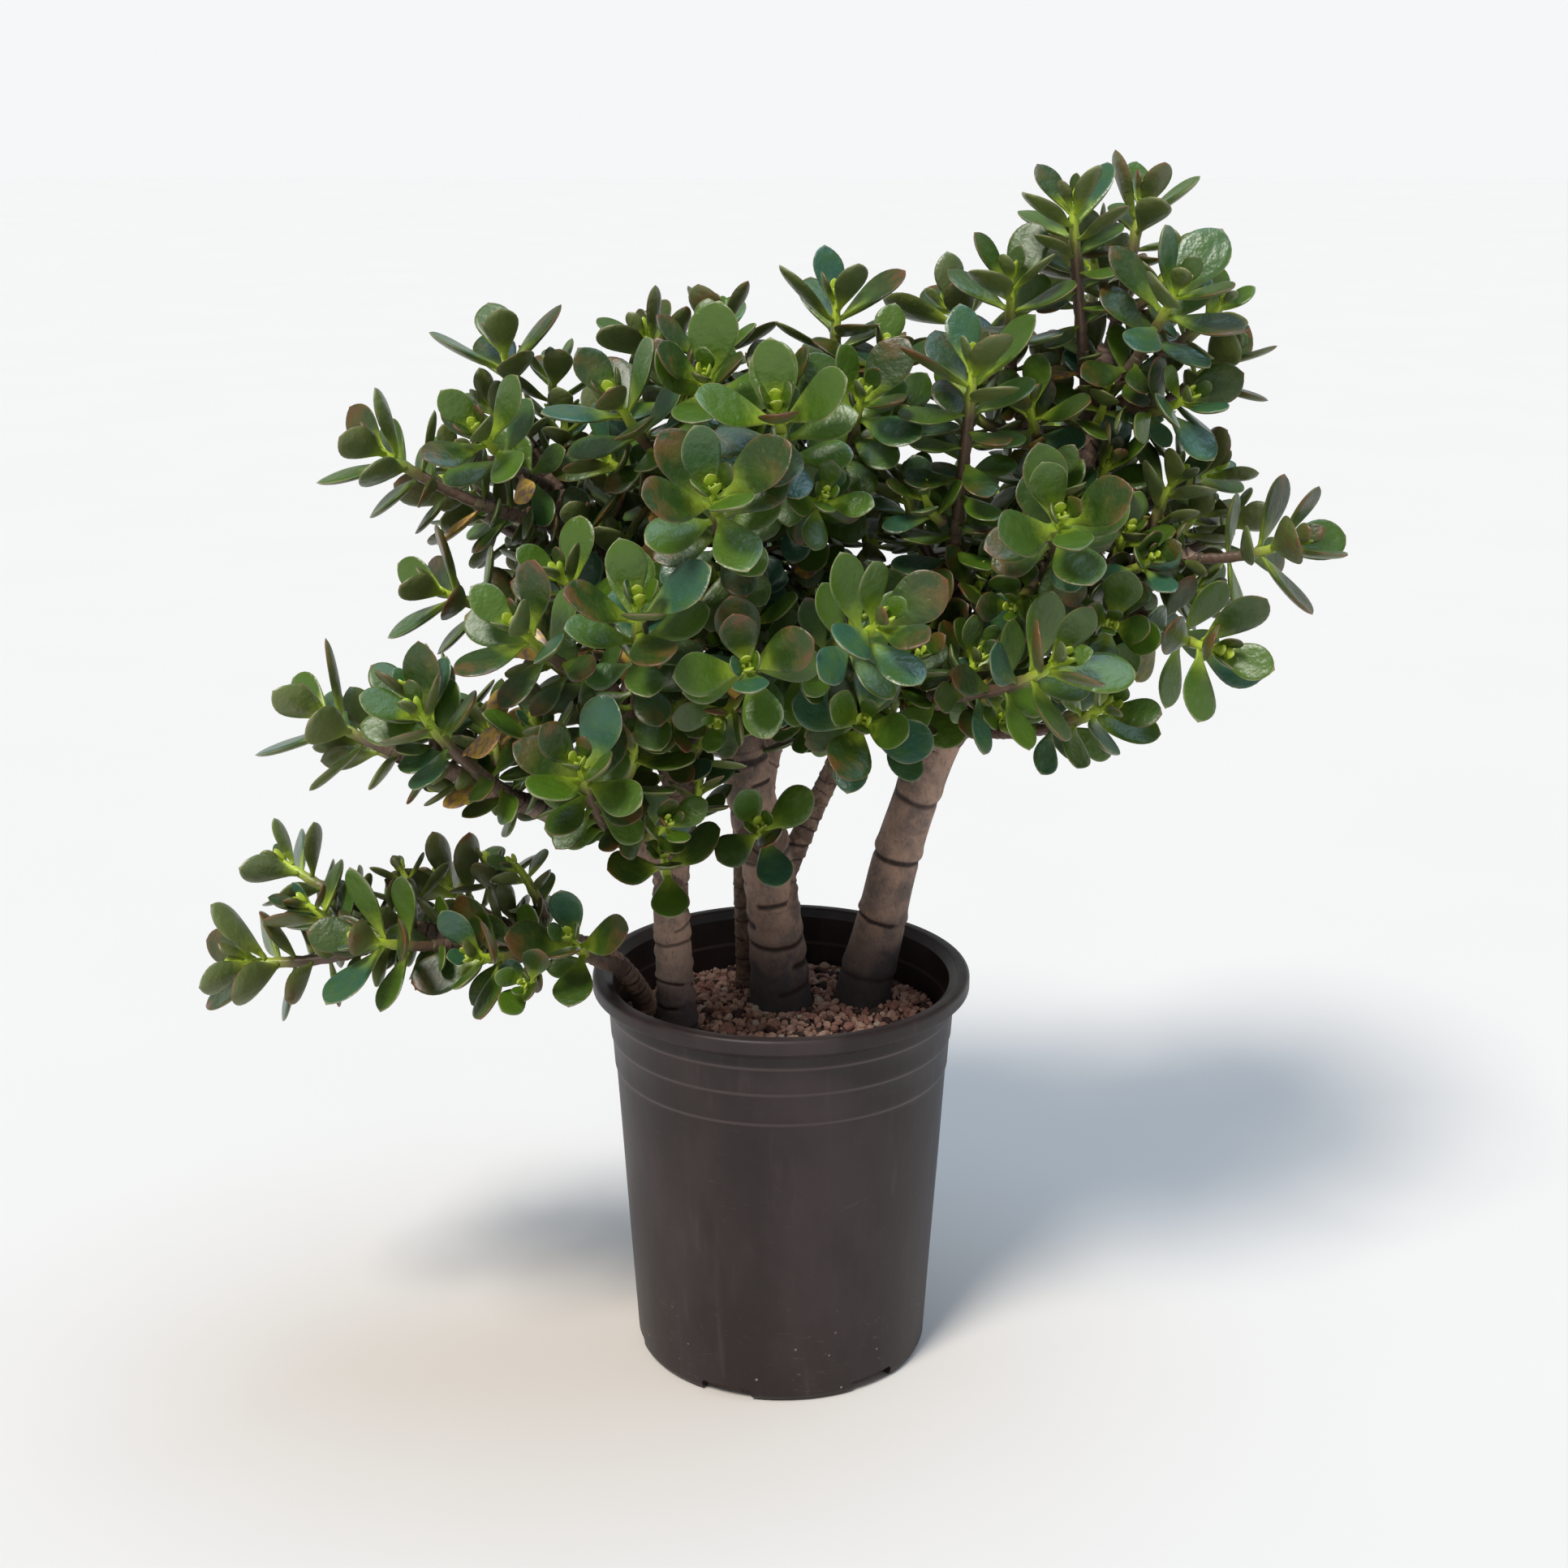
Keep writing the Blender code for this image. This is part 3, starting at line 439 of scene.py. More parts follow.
skin.cover(skin.times(line, skin.span(fibres, 0.25, 0.50, 0.80, 1.0)), SCAR)
skin.relief((fibres, 0.0009), (cracks, 0.0014), (mottled, 0.0030))
bark = skin.finish(Roughness=skin.span(mottled, 0.3, 0.7, 0.62, 0.82))
print("bark mixed")

# %% [markdown]
# ## Leaf flesh
# Jade leaves are thick, waxy and full of water. Old leaves are dark green, some with a cool blue
# bloom, and the pairs near a tip turn yellow-green towards their foot. A thin line runs round the
# margin: red on some leaves, and on others pale, partly the leaf's pale edge and partly a painted
# highlight on the rounded margin. A few leaves blush red towards their end. The underside is paler
# and greyer, and here and there a dying leaf has turned ochre. A thin clear coat stands for the
# wax, and a little light passes through the flesh.

# %% Leaf colours
DEEP_GREEN = (0.017, 0.043, 0.002)
MID_GREEN = (0.056, 0.116, 0.006)
BLUE_GREEN = (0.018, 0.080, 0.060)
HEART_GREEN = (0.440, 0.570, 0.050)
UNDER_GREEN = (0.125, 0.145, 0.045)
MARGIN_RED = (0.200, 0.060, 0.034)
# Partly the leaf's pale edge, partly a painted highlight on the rounded margin
PALE_RIM_AND_HIGHLIGHT = (0.300, 0.280, 0.150)
BLUSH = (0.125, 0.034, 0.010)
OCHRE = (0.480, 0.300, 0.045)
ROSE_BROWN = (0.250, 0.130, 0.090)
PALE_DOT = (0.150, 0.230, 0.080)
LEAF_TRAITS = ("along", "margin", "under", "youth", "tint", "dying", "stalk")

flesh = Recipe("leaf_flesh", DEEP_GREEN)
along, margin, under, youth, tint, dying, is_stalk = map(flesh.trait, LEAF_TRAITS)
patchy = flesh.noise(0.016, 3.0)
soft = flesh.noise(0.005, 3.0)
dots = flesh.cells(0.0016)
flesh.cover(flesh.span(tint, 0.15, 0.75), MID_GREEN)
flesh.cover(flesh.span(tint, 0.80, 0.95, 0.0, 0.8), BLUE_GREEN)
flesh.cover(flesh.span(patchy, 0.42, 0.70, 0.0, 0.45), MID_GREEN)
flesh.cover(flesh.span(dots, 0.22, 0.10, 0.0, 0.16), PALE_DOT)
flesh.cover(flesh.times(under, 0.72), UNDER_GREEN)
near_foot = flesh.span(flesh.stirred(along, soft, 0.0, 1.0, 0.06), 0.48, 0.02)
flesh.cover(flesh.times(near_foot, flesh.span(youth, 0.0, 0.75, 0.16, 1.0)), HEART_GREEN)
flesh.cover(flesh.span(youth, 0.82, 1.0, 0.0, 0.9), HEART_GREEN)
# The margin line: red is the leaf's own colour; the pale line is partly a painted highlight
rim = flesh.span(flesh.times(margin, flesh.span(along, 0.15, 0.75)), 0.45, 0.95, 0.0, 0.60)
rim = flesh.times(rim, flesh.span(patchy, 0.35, 0.6, 0.35, 1.0))
flesh.cover(rim, flesh.blend(flesh.span(tint, 0.35, 0.60), MARGIN_RED, PALE_RIM_AND_HIGHLIGHT))
blushed = flesh.times(flesh.span(tint, 0.12, 0.42, 0.70, 0.0), flesh.span(along, 0.45, 1.0))
flesh.cover(flesh.times(blushed, flesh.span(patchy, 0.40, 0.62)), BLUSH)
withered = flesh.span(dying, 0.15, 0.6)
flesh.cover(withered, flesh.blend(flesh.span(soft, 0.4, 0.62), OCHRE, ROSE_BROWN))
flesh.cover(is_stalk, flesh.blend(flesh.span(youth, 0.75, 0.15), HEART_GREEN, BROWN_BARK))
flesh.relief((patchy, 0.0022), (soft, 0.0005), (dots, 0.00006))
waxy = flesh.span(flesh.stirred(tint, soft, 0.3, 0.7, 0.10), 0.45, 0.90, 0.43, 0.34)
leaf_flesh = flesh.finish(Roughness=waxy, Specular_IOR_Level=0.46, Subsurface_Weight=0.08,
                          Subsurface_Scale=0.004, Coat_Weight=0.20, Coat_Roughness=0.30)
print("leaf flesh mixed")

# %% [markdown]
# ## The pot
# The pot is a thin tapered shell with a rolled lip, three moulded bands that each stand a little
# prouder than the one below, and a rounded foot. A turned shape needs only its outline, so the
# outline is drawn once, from the middle of the underside up the outside and down the inside, with
# real arcs for the lip and the foot, and then swept round.

# %% The pot's outline
FOOT_ROUND = 0.006
LIP_ROUND = 0.0032
UNDER_LIP_ROUND = 0.0012
INNER_LIP_ROUND = 0.0012
INNER_LIP_STEP = 0.0008
BAND_SLOPE = 1.3
WALL_FIRST, BAND_MARGIN, WALL_RINGS = 0.012, 0.004, 14
BORE_LAST, BORE_RINGS = 0.010, 12


def wall_radius(z):
    return WALL_TOP_RADIUS - TAPER * (POT_HEIGHT - LIP_HEIGHT - z)


def bore_radius(z):
    return wall_radius(z) - WALL


def arc(x, z, size, first, last, steps):
    """Points (radius, height) on an arc of a size round x, z, between two angles in degrees."""
    angles = [radians(first + (last - first) * step / steps) for step in range(steps + 1)]
    return [(x + size * cos(angle), z + size * sin(angle)) for angle in angles]


def band_outline(drop, proud):
    """The wall as it steps out at one moulded band, and a little of it above the step."""
    edge = POT_HEIGHT - drop
    outline = []
    for rise in np.linspace(0, 1, 5):
        ease = rise * rise * (3 - 2 * rise)
        z = edge + BAND_STEP * BAND_SLOPE * rise
        outline.append((wall_radius(z) + proud + BAND_STEP * ease, z))
    above = [edge + up for up in (0.004, 0.009)]
    return outline + [(wall_radius(z) + (proud + BAND_STEP), z) for z in above]


def pot_outline():
    foot = wall_radius(FOOT_ROUND)
    outline = [(0, 0), (foot * 0.5, 0)]
    outline += arc(foot - FOOT_ROUND, FOOT_ROUND, FOOT_ROUND, -90, 0, 8)
    wall_last = POT_HEIGHT - BAND_DROPS[0] - BAND_MARGIN
    outline += [(wall_radius(z), z) for z in np.linspace(WALL_FIRST, wall_last, WALL_RINGS)]
    proud = 0.0
    for drop in BAND_DROPS:
        outline += band_outline(drop, proud)
        proud += BAND_STEP
    size = UNDER_LIP_ROUND
    outline += arc(RIM_RADIUS - size, POT_HEIGHT - LIP_HEIGHT + size, size, -90, 0, 3)
    outline += arc(RIM_RADIUS - LIP_ROUND, POT_HEIGHT - LIP_ROUND, LIP_ROUND, 0, 90, 7)
    size = INNER_LIP_ROUND
    inner_lip = RIM_RADIUS - LIP_REACH + INNER_LIP_STEP
    outline += arc(inner_lip + size, POT_HEIGHT - size, size, 90, 180, 4)
    bore_first = POT_HEIGHT - LIP_HEIGHT / 2
    outline += [(bore_radius(z), z) for z in np.linspace(bore_first, BORE_LAST, BORE_RINGS)]
    return outline + [(bore_radius(FLOOR) - 2 * WALL, FLOOR), (0, FLOOR)]


outline = pot_outline()
print(f"{len(outline)} points in the outline")

# %% [markdown]
# The drainage notches are cut last, with six small arched blocks and a Boolean. Before that, the
# wall gets a slight unevenness, because a thin moulded pot full of grit is never perfectly round.

# %% Sweep the pot and cut its notches
POT_SIDES = 168
POT_WOBBLE = 0.00035
WOBBLES_ROUND, WOBBLES_UP = 1.3, 9
NOTCH_COUNT = 6
NOTCH_WIDTH = 0.038
NOTCH_HEIGHT = 0.009
NOTCH_DEPTH = 0.014
NOTCH_CORNER = 0.003
NOTCH_OVERSHOOT = 0.02
NOTCH_TURN = radians(-112)


def swept(outline, sides, uneven):
    """A closed shape swept round Z from an outline that starts and ends on the axis."""
    points = [(0, 0, outline[0][1]), (0, 0, outline[-1][1])]
    for radius, z in outline[1:-1]:
        for side in range(sides):
            turn = 2 * pi * side / sides
            where = Vector((cos(turn) * WOBBLES_ROUND, sin(turn) * WOBBLES_ROUND, z * WOBBLES_UP))
            wobble = 1 + uneven * noise.noise(where) / max(radius, 0.01)
            points.append((radius * wobble * cos(turn), radius * wobble * sin(turn), z))
    return points, pointed_faces(len(outline) - 2, sides, 2, 0, 1)


def notch_block():
    """An arched block that is wider than the wall is thick, with its rounded top up."""
    half = NOTCH_WIDTH / 2
    arch = [(-half, -NOTCH_HEIGHT)]
    arch += [(-half + NOTCH_CORNER - NOTCH_CORNER * cos(angle),
              NOTCH_HEIGHT - NOTCH_CORNER + NOTCH_CORNER * sin(angle))
             for angle in np.linspace(0, pi / 2, 5)]
    arch += [(-x, z) for x, z in reversed(arch)]
    start = wall_radius(FOOT_HEIGHT) - NOTCH_DEPTH
    reach = NOTCH_DEPTH + NOTCH_OVERSHOOT
    points = [(start + reach * end, x, z) for end in (0, 1) for x, z in arch]
    return points, ring_faces(2, len(arch))


def in_view(name, mesh):
    """An object that stands in the scene only while a modifier needs it."""
    helper = bpy.data.objects.new(name, mesh)
    bpy.context.scene.collection.objects.link(helper)
    return helper


def applied(shaped):
    """The mesh that an object's modifiers make of it."""
    bpy.context.view_layer.update()
    depsgraph = bpy.context.evaluated_depsgraph_get()
    return bpy.data.meshes.new_from_object(shaped.evaluated_get(depsgraph))


pot_heap = Heap()
pot_heap.add(*swept(outline, POT_SIDES, POT_WOBBLE))
pot = add_piece("nursery_pot", pot_heap.mesh("nursery_pot", pot_plastic), "pot_plastic", "pot")
blocks = Heap()
for number in range(NOTCH_COUNT):
    points, faces = notch_block()
    turn = Matrix.Rotation(NOTCH_TURN + 2 * pi * number / NOTCH_COUNT, 3, "Z")
    blocks.add([tuple(turn @ Vector(point)) for point in points], faces)
cutter = in_view("notch_blocks", blocks.mesh("notch_blocks", pot_plastic))
cut = pot.modifiers.new("notches", "BOOLEAN")
cut.operation = "DIFFERENCE"
cut.solver = "EXACT"
cut.object = cutter
carved = applied(pot)
pot.modifiers.clear()
pot.data = carved
carved.shade_smooth()
carved.set_sharp_from_angle(angle=radians(35))
bpy.data.objects.remove(cutter, do_unlink=True)
print(f"the pot has {len(carved.polygons)} faces")

# %% [markdown]
# ## How the plant branches
# The branch plan is the one that the solids were grown from: trunks with points from the mix
# upwards, branches that leave a trunk part of the way along, and shoots that end at a chosen tip.
# Each is turned into a smooth curve that can be asked for its place and heading at any distance.

# %% The branch plan
# Each trunk: node, radius at the mix, radius at its end, place in the mix, then points
# (x, y, above the rim).
TRUNKS = {
    "centre": ("stem_centre", 0.0225, 0.0160, (0.000, 0.035),
               [(-0.004, 0.030, 0.020), (-0.010, 0.020, 0.075), (-0.020, 0.010, 0.120),
                (-0.030, 0.005, 0.180)]),
    "left": ("stem_left", 0.0150, 0.0115, (-0.074, -0.025),
             [(-0.076, -0.029, 0.035), (-0.076, -0.034, 0.085), (-0.066, -0.040, 0.140)]),
    "right": ("stem_right", 0.0200, 0.0155, (0.060, 0.045),
              [(0.073, 0.042, 0.020), (0.086, 0.040, 0.080), (0.108, 0.033, 0.150),
               (0.125, 0.030, 0.185)]),
    "low_left": ("stem_low_left", 0.0085, 0.0060, (-0.099, 0.016),
                 [(-0.106, -0.004, -0.010), (-0.124, -0.028, 0.021), (-0.150, -0.044, 0.036),
                  (-0.190, -0.054, 0.044), (-0.226, -0.060, 0.048), (-0.262, -0.066, 0.052)]),
    "back": ("stem_back", 0.0070, 0.0055, (-0.027, 0.070),
             [(-0.029, 0.064, 0.045), (-0.030, 0.090, 0.130), (-0.030, 0.125, 0.210),
              (-0.035, 0.150, 0.270)]),
}
# Each branch: parent limb, how far along it, radius at its start and end, then points
# (x, y, above the rim).
BRANCHES = {
    "centre_up": ("centre", 1.00, 0.0140, 0.0075,
                  [(-0.030, 0.000, 0.270), (-0.040, 0.000, 0.340), (-0.050, -0.005, 0.385)]),
    "centre_fork": ("centre", 0.80, 0.0120, 0.0070,
                    [(-0.004, 0.032, 0.185), (0.006, 0.032, 0.250), (0.025, 0.022, 0.320),
                     (0.035, 0.012, 0.385)]),
    "centre_side": ("centre", 0.52, 0.0088, 0.0060,
                    [(0.022, 0.036, 0.105), (0.038, 0.036, 0.140), (0.048, 0.000, 0.185),
                     (0.050, -0.050, 0.210)]),
    "centre_front": ("centre_up", 0.12, 0.0090, 0.0060,
                     [(-0.026, -0.050, 0.228), (-0.016, -0.100, 0.262)]),
    "left_up": ("left", 1.00, 0.0110, 0.0062,
                [(-0.062, -0.040, 0.185), (-0.090, -0.026, 0.230), (-0.125, 0.002, 0.300),
                 (-0.160, 0.020, 0.350), (-0.180, 0.022, 0.385)]),
    "left_low": ("left", 0.76, 0.0095, 0.0056,
                 [(-0.092, -0.060, 0.112), (-0.145, -0.098, 0.145), (-0.190, -0.115, 0.170),
                  (-0.232, -0.120, 0.192)]),
    "left_front": ("left", 0.97, 0.0090, 0.0056,
                   [(-0.078, -0.080, 0.182), (-0.100, -0.108, 0.218), (-0.114, -0.120, 0.246)]),
    "left_rear": ("left_up", 0.38, 0.0085, 0.0056,
                  [(-0.120, 0.048, 0.250), (-0.150, 0.092, 0.285)]),
    "right_up": ("right", 1.00, 0.0150, 0.0080,
                 [(0.165, 0.030, 0.265), (0.198, 0.020, 0.345), (0.214, 0.020, 0.397),
                  (0.220, 0.016, 0.440)]),
    "right_side": ("right_up", 0.34, 0.0090, 0.0060,
                   [(0.205, 0.010, 0.284), (0.242, -0.012, 0.298), (0.274, -0.030, 0.308)]),
    "right_front": ("right", 0.90, 0.0090, 0.0060,
                    [(0.116, -0.020, 0.202), (0.102, -0.080, 0.222), (0.108, -0.118, 0.234)]),
    "right_mid": ("right_up", 0.12, 0.0085, 0.0060,
                  [(0.120, 0.004, 0.246), (0.112, -0.030, 0.292)]),
    "right_rear": ("right_up", 0.22, 0.0090, 0.0060,
                   [(0.172, 0.078, 0.262), (0.190, 0.122, 0.305)]),
    "right_inner": ("right_up", 0.50, 0.0085, 0.0060,
                    [(0.176, 0.020, 0.370), (0.152, 0.014, 0.412)]),
}
# Each shoot: parent limb, how far along it, tip (x, y, above the rim), leaf pairs, leaf size,
# turn of the top pair.
SHOOTS = {
    "low_left_end": ("low_left", 1.00, (-0.368, -0.074, 0.034), 7, 1.06, 20),
    "low_left_upper": ("low_left", 0.88, (-0.348, -0.022, 0.088), 6, 0.85, 60),
    "low_left_face": ("low_left", 0.80, (-0.276, -0.116, 0.066), 6, 1.06, 75),
    "low_left_mid": ("low_left", 0.62, (-0.206, -0.106, 0.050), 5, 1.00, 20),
    "low_left_rear": ("low_left", 0.66, (-0.240, -0.004, 0.066), 6, 1.00, 45),
    "low_left_inner": ("low_left", 0.44, (-0.142, -0.090, 0.056), 4, 1.00, 0),
    "left_reach": ("left_low", 1.00, (-0.298, -0.120, 0.224), 8, 1.05, 10),
    "left_reach_face": ("left_low", 0.66, (-0.226, -0.170, 0.238), 7, 1.00, 80),
    "left_low_face": ("left_low", 0.32, (-0.124, -0.200, 0.212), 9, 1.00, 60),
    "left_sprout": ("left", 0.70, (-0.078, -0.098, 0.118), 4, 0.90, 20),
    "left_front_face": ("left_front", 1.00, (-0.162, -0.178, 0.294), 7, 1.00, 50),
    "left_front_tall": ("left_front", 0.70, (-0.086, -0.204, 0.314), 9, 1.10, 15),
    "left_inner": ("left_up", 0.34, (-0.142, -0.092, 0.308), 7, 0.90, 70),
    "left_middle": ("left_up", 0.48, (-0.230, -0.052, 0.290), 9, 0.95, 25),
    "left_far": ("left_up", 0.72, (-0.268, -0.030, 0.380), 8, 1.00, 10),
    "left_outer_rear": ("left_up", 0.62, (-0.232, 0.052, 0.338), 7, 0.95, 50),
    "left_high": ("left_up", 0.84, (-0.196, -0.060, 0.396), 6, 0.95, 40),
    "left_top": ("left_up", 1.00, (-0.187, 0.018, 0.440), 6, 1.05, 20),
    "left_rear_end": ("left_rear", 1.00, (-0.195, 0.142, 0.334), 7, 1.00, 30),
    "left_rear_high": ("left_rear", 0.66, (-0.122, 0.150, 0.362), 8, 1.00, 75),
    "centre_sprout": ("centre", 0.70, (-0.014, -0.066, 0.128), 4, 0.90, 35),
    "centre_top_left": ("centre_up", 0.92, (-0.092, 0.016, 0.448), 6, 0.95, 65),
    "centre_left": ("centre_up", 0.72, (-0.106, -0.080, 0.420), 8, 1.05, 20),
    "centre_face": ("centre_up", 0.50, (-0.040, -0.200, 0.382), 11, 1.15, 30),
    "centre_high": ("centre_up", 1.00, (-0.048, -0.100, 0.436), 7, 1.05, 80),
    "centre_near": ("centre_fork", 0.72, (-0.002, -0.164, 0.426), 9, 1.10, 5),
    "centre_right": ("centre_fork", 0.88, (0.052, -0.080, 0.422), 7, 1.00, 50),
    "centre_top": ("centre_fork", 1.00, (0.037, 0.000, 0.474), 7, 1.05, 25),
    "centre_low": ("centre_front", 1.00, (-0.020, -0.204, 0.276), 7, 1.00, 15),
    "centre_low_right": ("centre_front", 0.60, (0.060, -0.204, 0.304), 9, 1.05, 40),
    "centre_side_face": ("centre_side", 1.00, (0.052, -0.160, 0.228), 7, 1.00, 70),
    "centre_side_inner": ("centre_side", 0.76, (0.084, -0.076, 0.212), 5, 0.95, 10),
    "centre_rear": ("centre_fork", 0.46, (0.058, 0.128, 0.330), 8, 1.00, 45),
    "back_top": ("back", 1.00, (-0.040, 0.178, 0.366), 8, 1.00, 15),
    "back_left": ("back", 0.80, (-0.102, 0.170, 0.246), 7, 1.00, 60),
    "back_right": ("back", 0.72, (0.042, 0.172, 0.236), 7, 1.00, 35),
    "right_inner_face": ("right_mid", 1.00, (0.122, -0.084, 0.442), 11, 1.10, 25),
    "right_inner_top": ("right_inner", 0.96, (0.150, -0.020, 0.490), 7, 1.00, 60),
    "right_inner_rear": ("right_inner", 0.94, (0.116, 0.068, 0.462), 6, 1.00, 10),
    "right_top_left": ("right_up", 0.80, (0.190, -0.006, 0.536), 10, 0.95, 45),
    "right_top": ("right_up", 1.00, (0.240, 0.024, 0.538), 7, 0.90, 15),
    "right_top_face": ("right_up", 0.86, (0.252, -0.064, 0.488), 7, 1.10, 55),
    "right_top_rear": ("right_up", 0.90, (0.216, 0.098, 0.486), 7, 1.00, 30),
    "right_high_side": ("right_up", 0.76, (0.296, 0.004, 0.438), 9, 0.95, 70),
    "right_near": ("right_up", 0.50, (0.172, -0.160, 0.358), 10, 1.10, 20),
    "right_side_up": ("right_up", 0.54, (0.298, 0.030, 0.356), 8, 0.85, 50),
    "right_side_end": ("right_side", 0.92, (0.336, -0.062, 0.324), 8, 1.05, 30),
    "right_side_face": ("right_side", 0.50, (0.282, -0.100, 0.260), 8, 1.05, 65),
    "right_side_rear": ("right_side", 0.66, (0.286, 0.084, 0.318), 7, 1.00, 10),
    "right_front_face": ("right_front", 1.00, (0.172, -0.172, 0.270), 8, 1.10, 10),
    "right_front_side": ("right", 0.96, (0.214, -0.094, 0.220), 9, 1.00, 75),
    "right_rear_end": ("right_rear", 1.00, (0.212, 0.176, 0.362), 7, 1.00, 20),
    "right_rear_inner": ("right_rear", 0.62, (0.126, 0.154, 0.306), 7, 1.00, 55),
}
print(f"{len(TRUNKS)} trunks, {len(BRANCHES)} branches and {len(SHOOTS)} shoots")

# %% Curves for the plan
HEADING_STEP = 0.002
CURVE_PIECES = 10


class Path:
    def __init__(self, points):
        self.points = points
        self.reach = [0.0]
        for a, b in zip(points, points[1:]):
            self.reach.append(self.reach[-1] + (b - a).length)
        self.length = self.reach[-1]

    def at(self, distance):
        distance = min(max(distance, 0.0), self.length)
        piece = 0
        while piece < len(self.points) - 2 and self.reach[piece + 1] < distance:
            piece += 1
        a, b = self.points[piece], self.points[piece + 1]
        share = (distance - self.reach[piece]) / (self.reach[piece + 1] - self.reach[piece])
        return a.lerp(b, share)

    def heading(self, distance):
        return (self.at(distance + HEADING_STEP) - self.at(distance - HEADING_STEP)).normalized()

    def frames(self, distances, side):
        """Centre, heading and two directions across at each distance, without any spin."""
        made = []
        for distance in distances:
            heading = self.heading(distance)
            side = squared(side, heading)
            made.append((self.at(distance), heading, side, heading.cross(side)))
        return made


def squared(side, heading):
    """The direction nearest to side that stands square to a heading."""
    return (side - heading * side.dot(heading)).normalized()


def any_side(path):
    """A direction across the start of a path."""
    return path.heading(0.0).orthogonal().normalized()


def place(x, y, above_rim):
    return Vector((x, y, POT_HEIGHT + above_rim))


def smooth_path(points):
    """A Catmull-Rom curve through the points."""
    ends = [points[0] * 2 - points[1]] + points + [points[-1] * 2 - points[-2]]
    curve = []
    for a, b, c, d in zip(ends, ends[1:], ends[2:], ends[3:]):
        for step in range(CURVE_PIECES):
            t = step / CURVE_PIECES
            curve.append(0.5 * (2 * b + (c - a) * t + (2 * a - 5 * b + 4 * c - d) * t * t
                                + (3 * b - a - 3 * c + d) * t * t * t))
    return Path(curve + [points[-1]])


def bent_path(start, bend, end, pieces):
    """A single bend, from start to end, that is drawn towards a third point."""
    curve = []
    for step in range(pieces + 1):
        t = step / pieces
        curve.append(start * (1 - t) ** 2 + bend * 2 * t * (1 - t) + end * t * t)
    return Path(curve)


def limb_start(limbs, parent, share):
    path, parent_radius = limbs[parent]["path"], limbs[parent]["end_radius"]
    return path.at(min(share * path.length, path.length - parent_radius))


def grown_limb(stem, points, start_radius, end_radius):
    return {"stem": stem, "path": smooth_path(points), "trunk": points[0].z < MIX_TOP,
            "start_radius": start_radius, "end_radius": end_radius}


def plan_limbs():
    limbs = {}
    for name, (stem, start_radius, end_radius, (x, y), above) in TRUNKS.items():
        ground = Vector((x, y, MIX_TOP))
        points = [ground - Vector((0, 0, ROOTED)), ground] + [place(*point) for point in above]
        limbs[name] = grown_limb(stem, points, start_radius, end_radius)
    for name, (parent, share, start_radius, end_radius, beyond) in BRANCHES.items():
        points = [limb_start(limbs, parent, share)] + [place(*point) for point in beyond]
        limbs[name] = grown_limb(limbs[parent]["stem"], points, start_radius, end_radius)
    return limbs


limbs = plan_limbs()
print(f"{sum(limb['path'].length for limb in limbs.values()):.2f} m of wood")

# %% [markdown]
# ## How a shoot grows
# A shoot ends in a bud, and below it the leaves stand in pairs, each pair turned a quarter round
# from the next. The youngest are small and upright, the next few are the largest on the plant, and
# the old ones below are smaller, rounder and nearly level.

# %% Shoot frames
SHOOT_LIFT = 0.30
TIP_CROWDING = (0.35, 0.50, 0.70, 0.85)
LEAF_AGE = (0.42, 0.80, 1.00, 0.93, 0.82, 0.74, 0.68)
LEAF_PITCH = (24, 38, 52, 64, 72, 78, 84, 88)
LEAF_SWING = 6
FULL_THICKNESS_AT = 4


def shoot_length(pairs):
    steps = [INTERNODE * share for share in TIP_CROWDING[:pairs]]
    return sum(steps) + INTERNODE * max(0, pairs - len(TIP_CROWDING))


def shoot_path(start, tip):
    end = place(*tip)
    heading = ((end - start).normalized() + Vector((0, 0, SHOOT_LIFT))).normalized()
    return bent_path(start, end - heading * (end - start).length * 0.5, end, 24)


def framed(path, pairs, size, side, turn, number):
    """A shoot with the frames that its leaf pairs stand on, from its tip down."""
    rings = [path.length - shoot_length(count) for count in range(pairs + 1)]
    side = Matrix.Rotation(turn, 3, path.heading(path.length)) @ side
    return {"path": path, "foot": rings[-1], "frames": path.frames(rings, side), "pairs": pairs,
            "size": size, "number": number}


def plan_shoots(limbs):
    shoots = {}
    for number, (name, (parent, share, tip, pairs, size, turn)) in enumerate(SHOOTS.items()):
        path = shoot_path(limb_start(limbs, parent, share), tip)
        shortest_twig = limbs[parent]["start_radius"] + 2 * TWIG_RADIUS
        while shoot_length(pairs) > path.length - shortest_twig:
            pairs -= 1
        side = squared(Vector((1, 0, 0)), path.heading(path.length))
        shoots[name] = framed(path, pairs, size, side, radians(turn), number)
        shoots[name]["parent"] = parent
    return shoots


def shoot_radius(ring):
    return SHOOT_TIP + (SHOOT_RADIUS - SHOOT_TIP) * min(1.0, ring / FULL_THICKNESS_AT)


shoots = plan_shoots(limbs)
print(f"{sum(shoot['pairs'] for shoot in shoots.values())} leaf pairs are planned")

# %% [markdown]
# ## The stems
# Where a branch leaves a jade trunk the skin flows from one to the other without a seam. Joining
# tubes with a Boolean would leave a sharp crease there, so the tubes of one stem are laid over each
# other, melted into one skin by a voxel remesh, and smoothed. The leaf scars come afterwards,
# because a remesh would erase them.

# %% Tubes for one stem
VOXEL = 0.0013
RING_GAP = 0.004
LUMP, LUMP_REACH, LUMP_SCALE = 0.05, 0.02, 28
TRUNK_SWELL, BRANCH_SWELL = 0.10, 0.22
SWELL_BASE, SWELL_REACH = 2.718, 1.6
THICK_LIMB = 0.012
THICK_SIDES, THIN_SIDES, TWIG_SIDES = 28, 18, 12


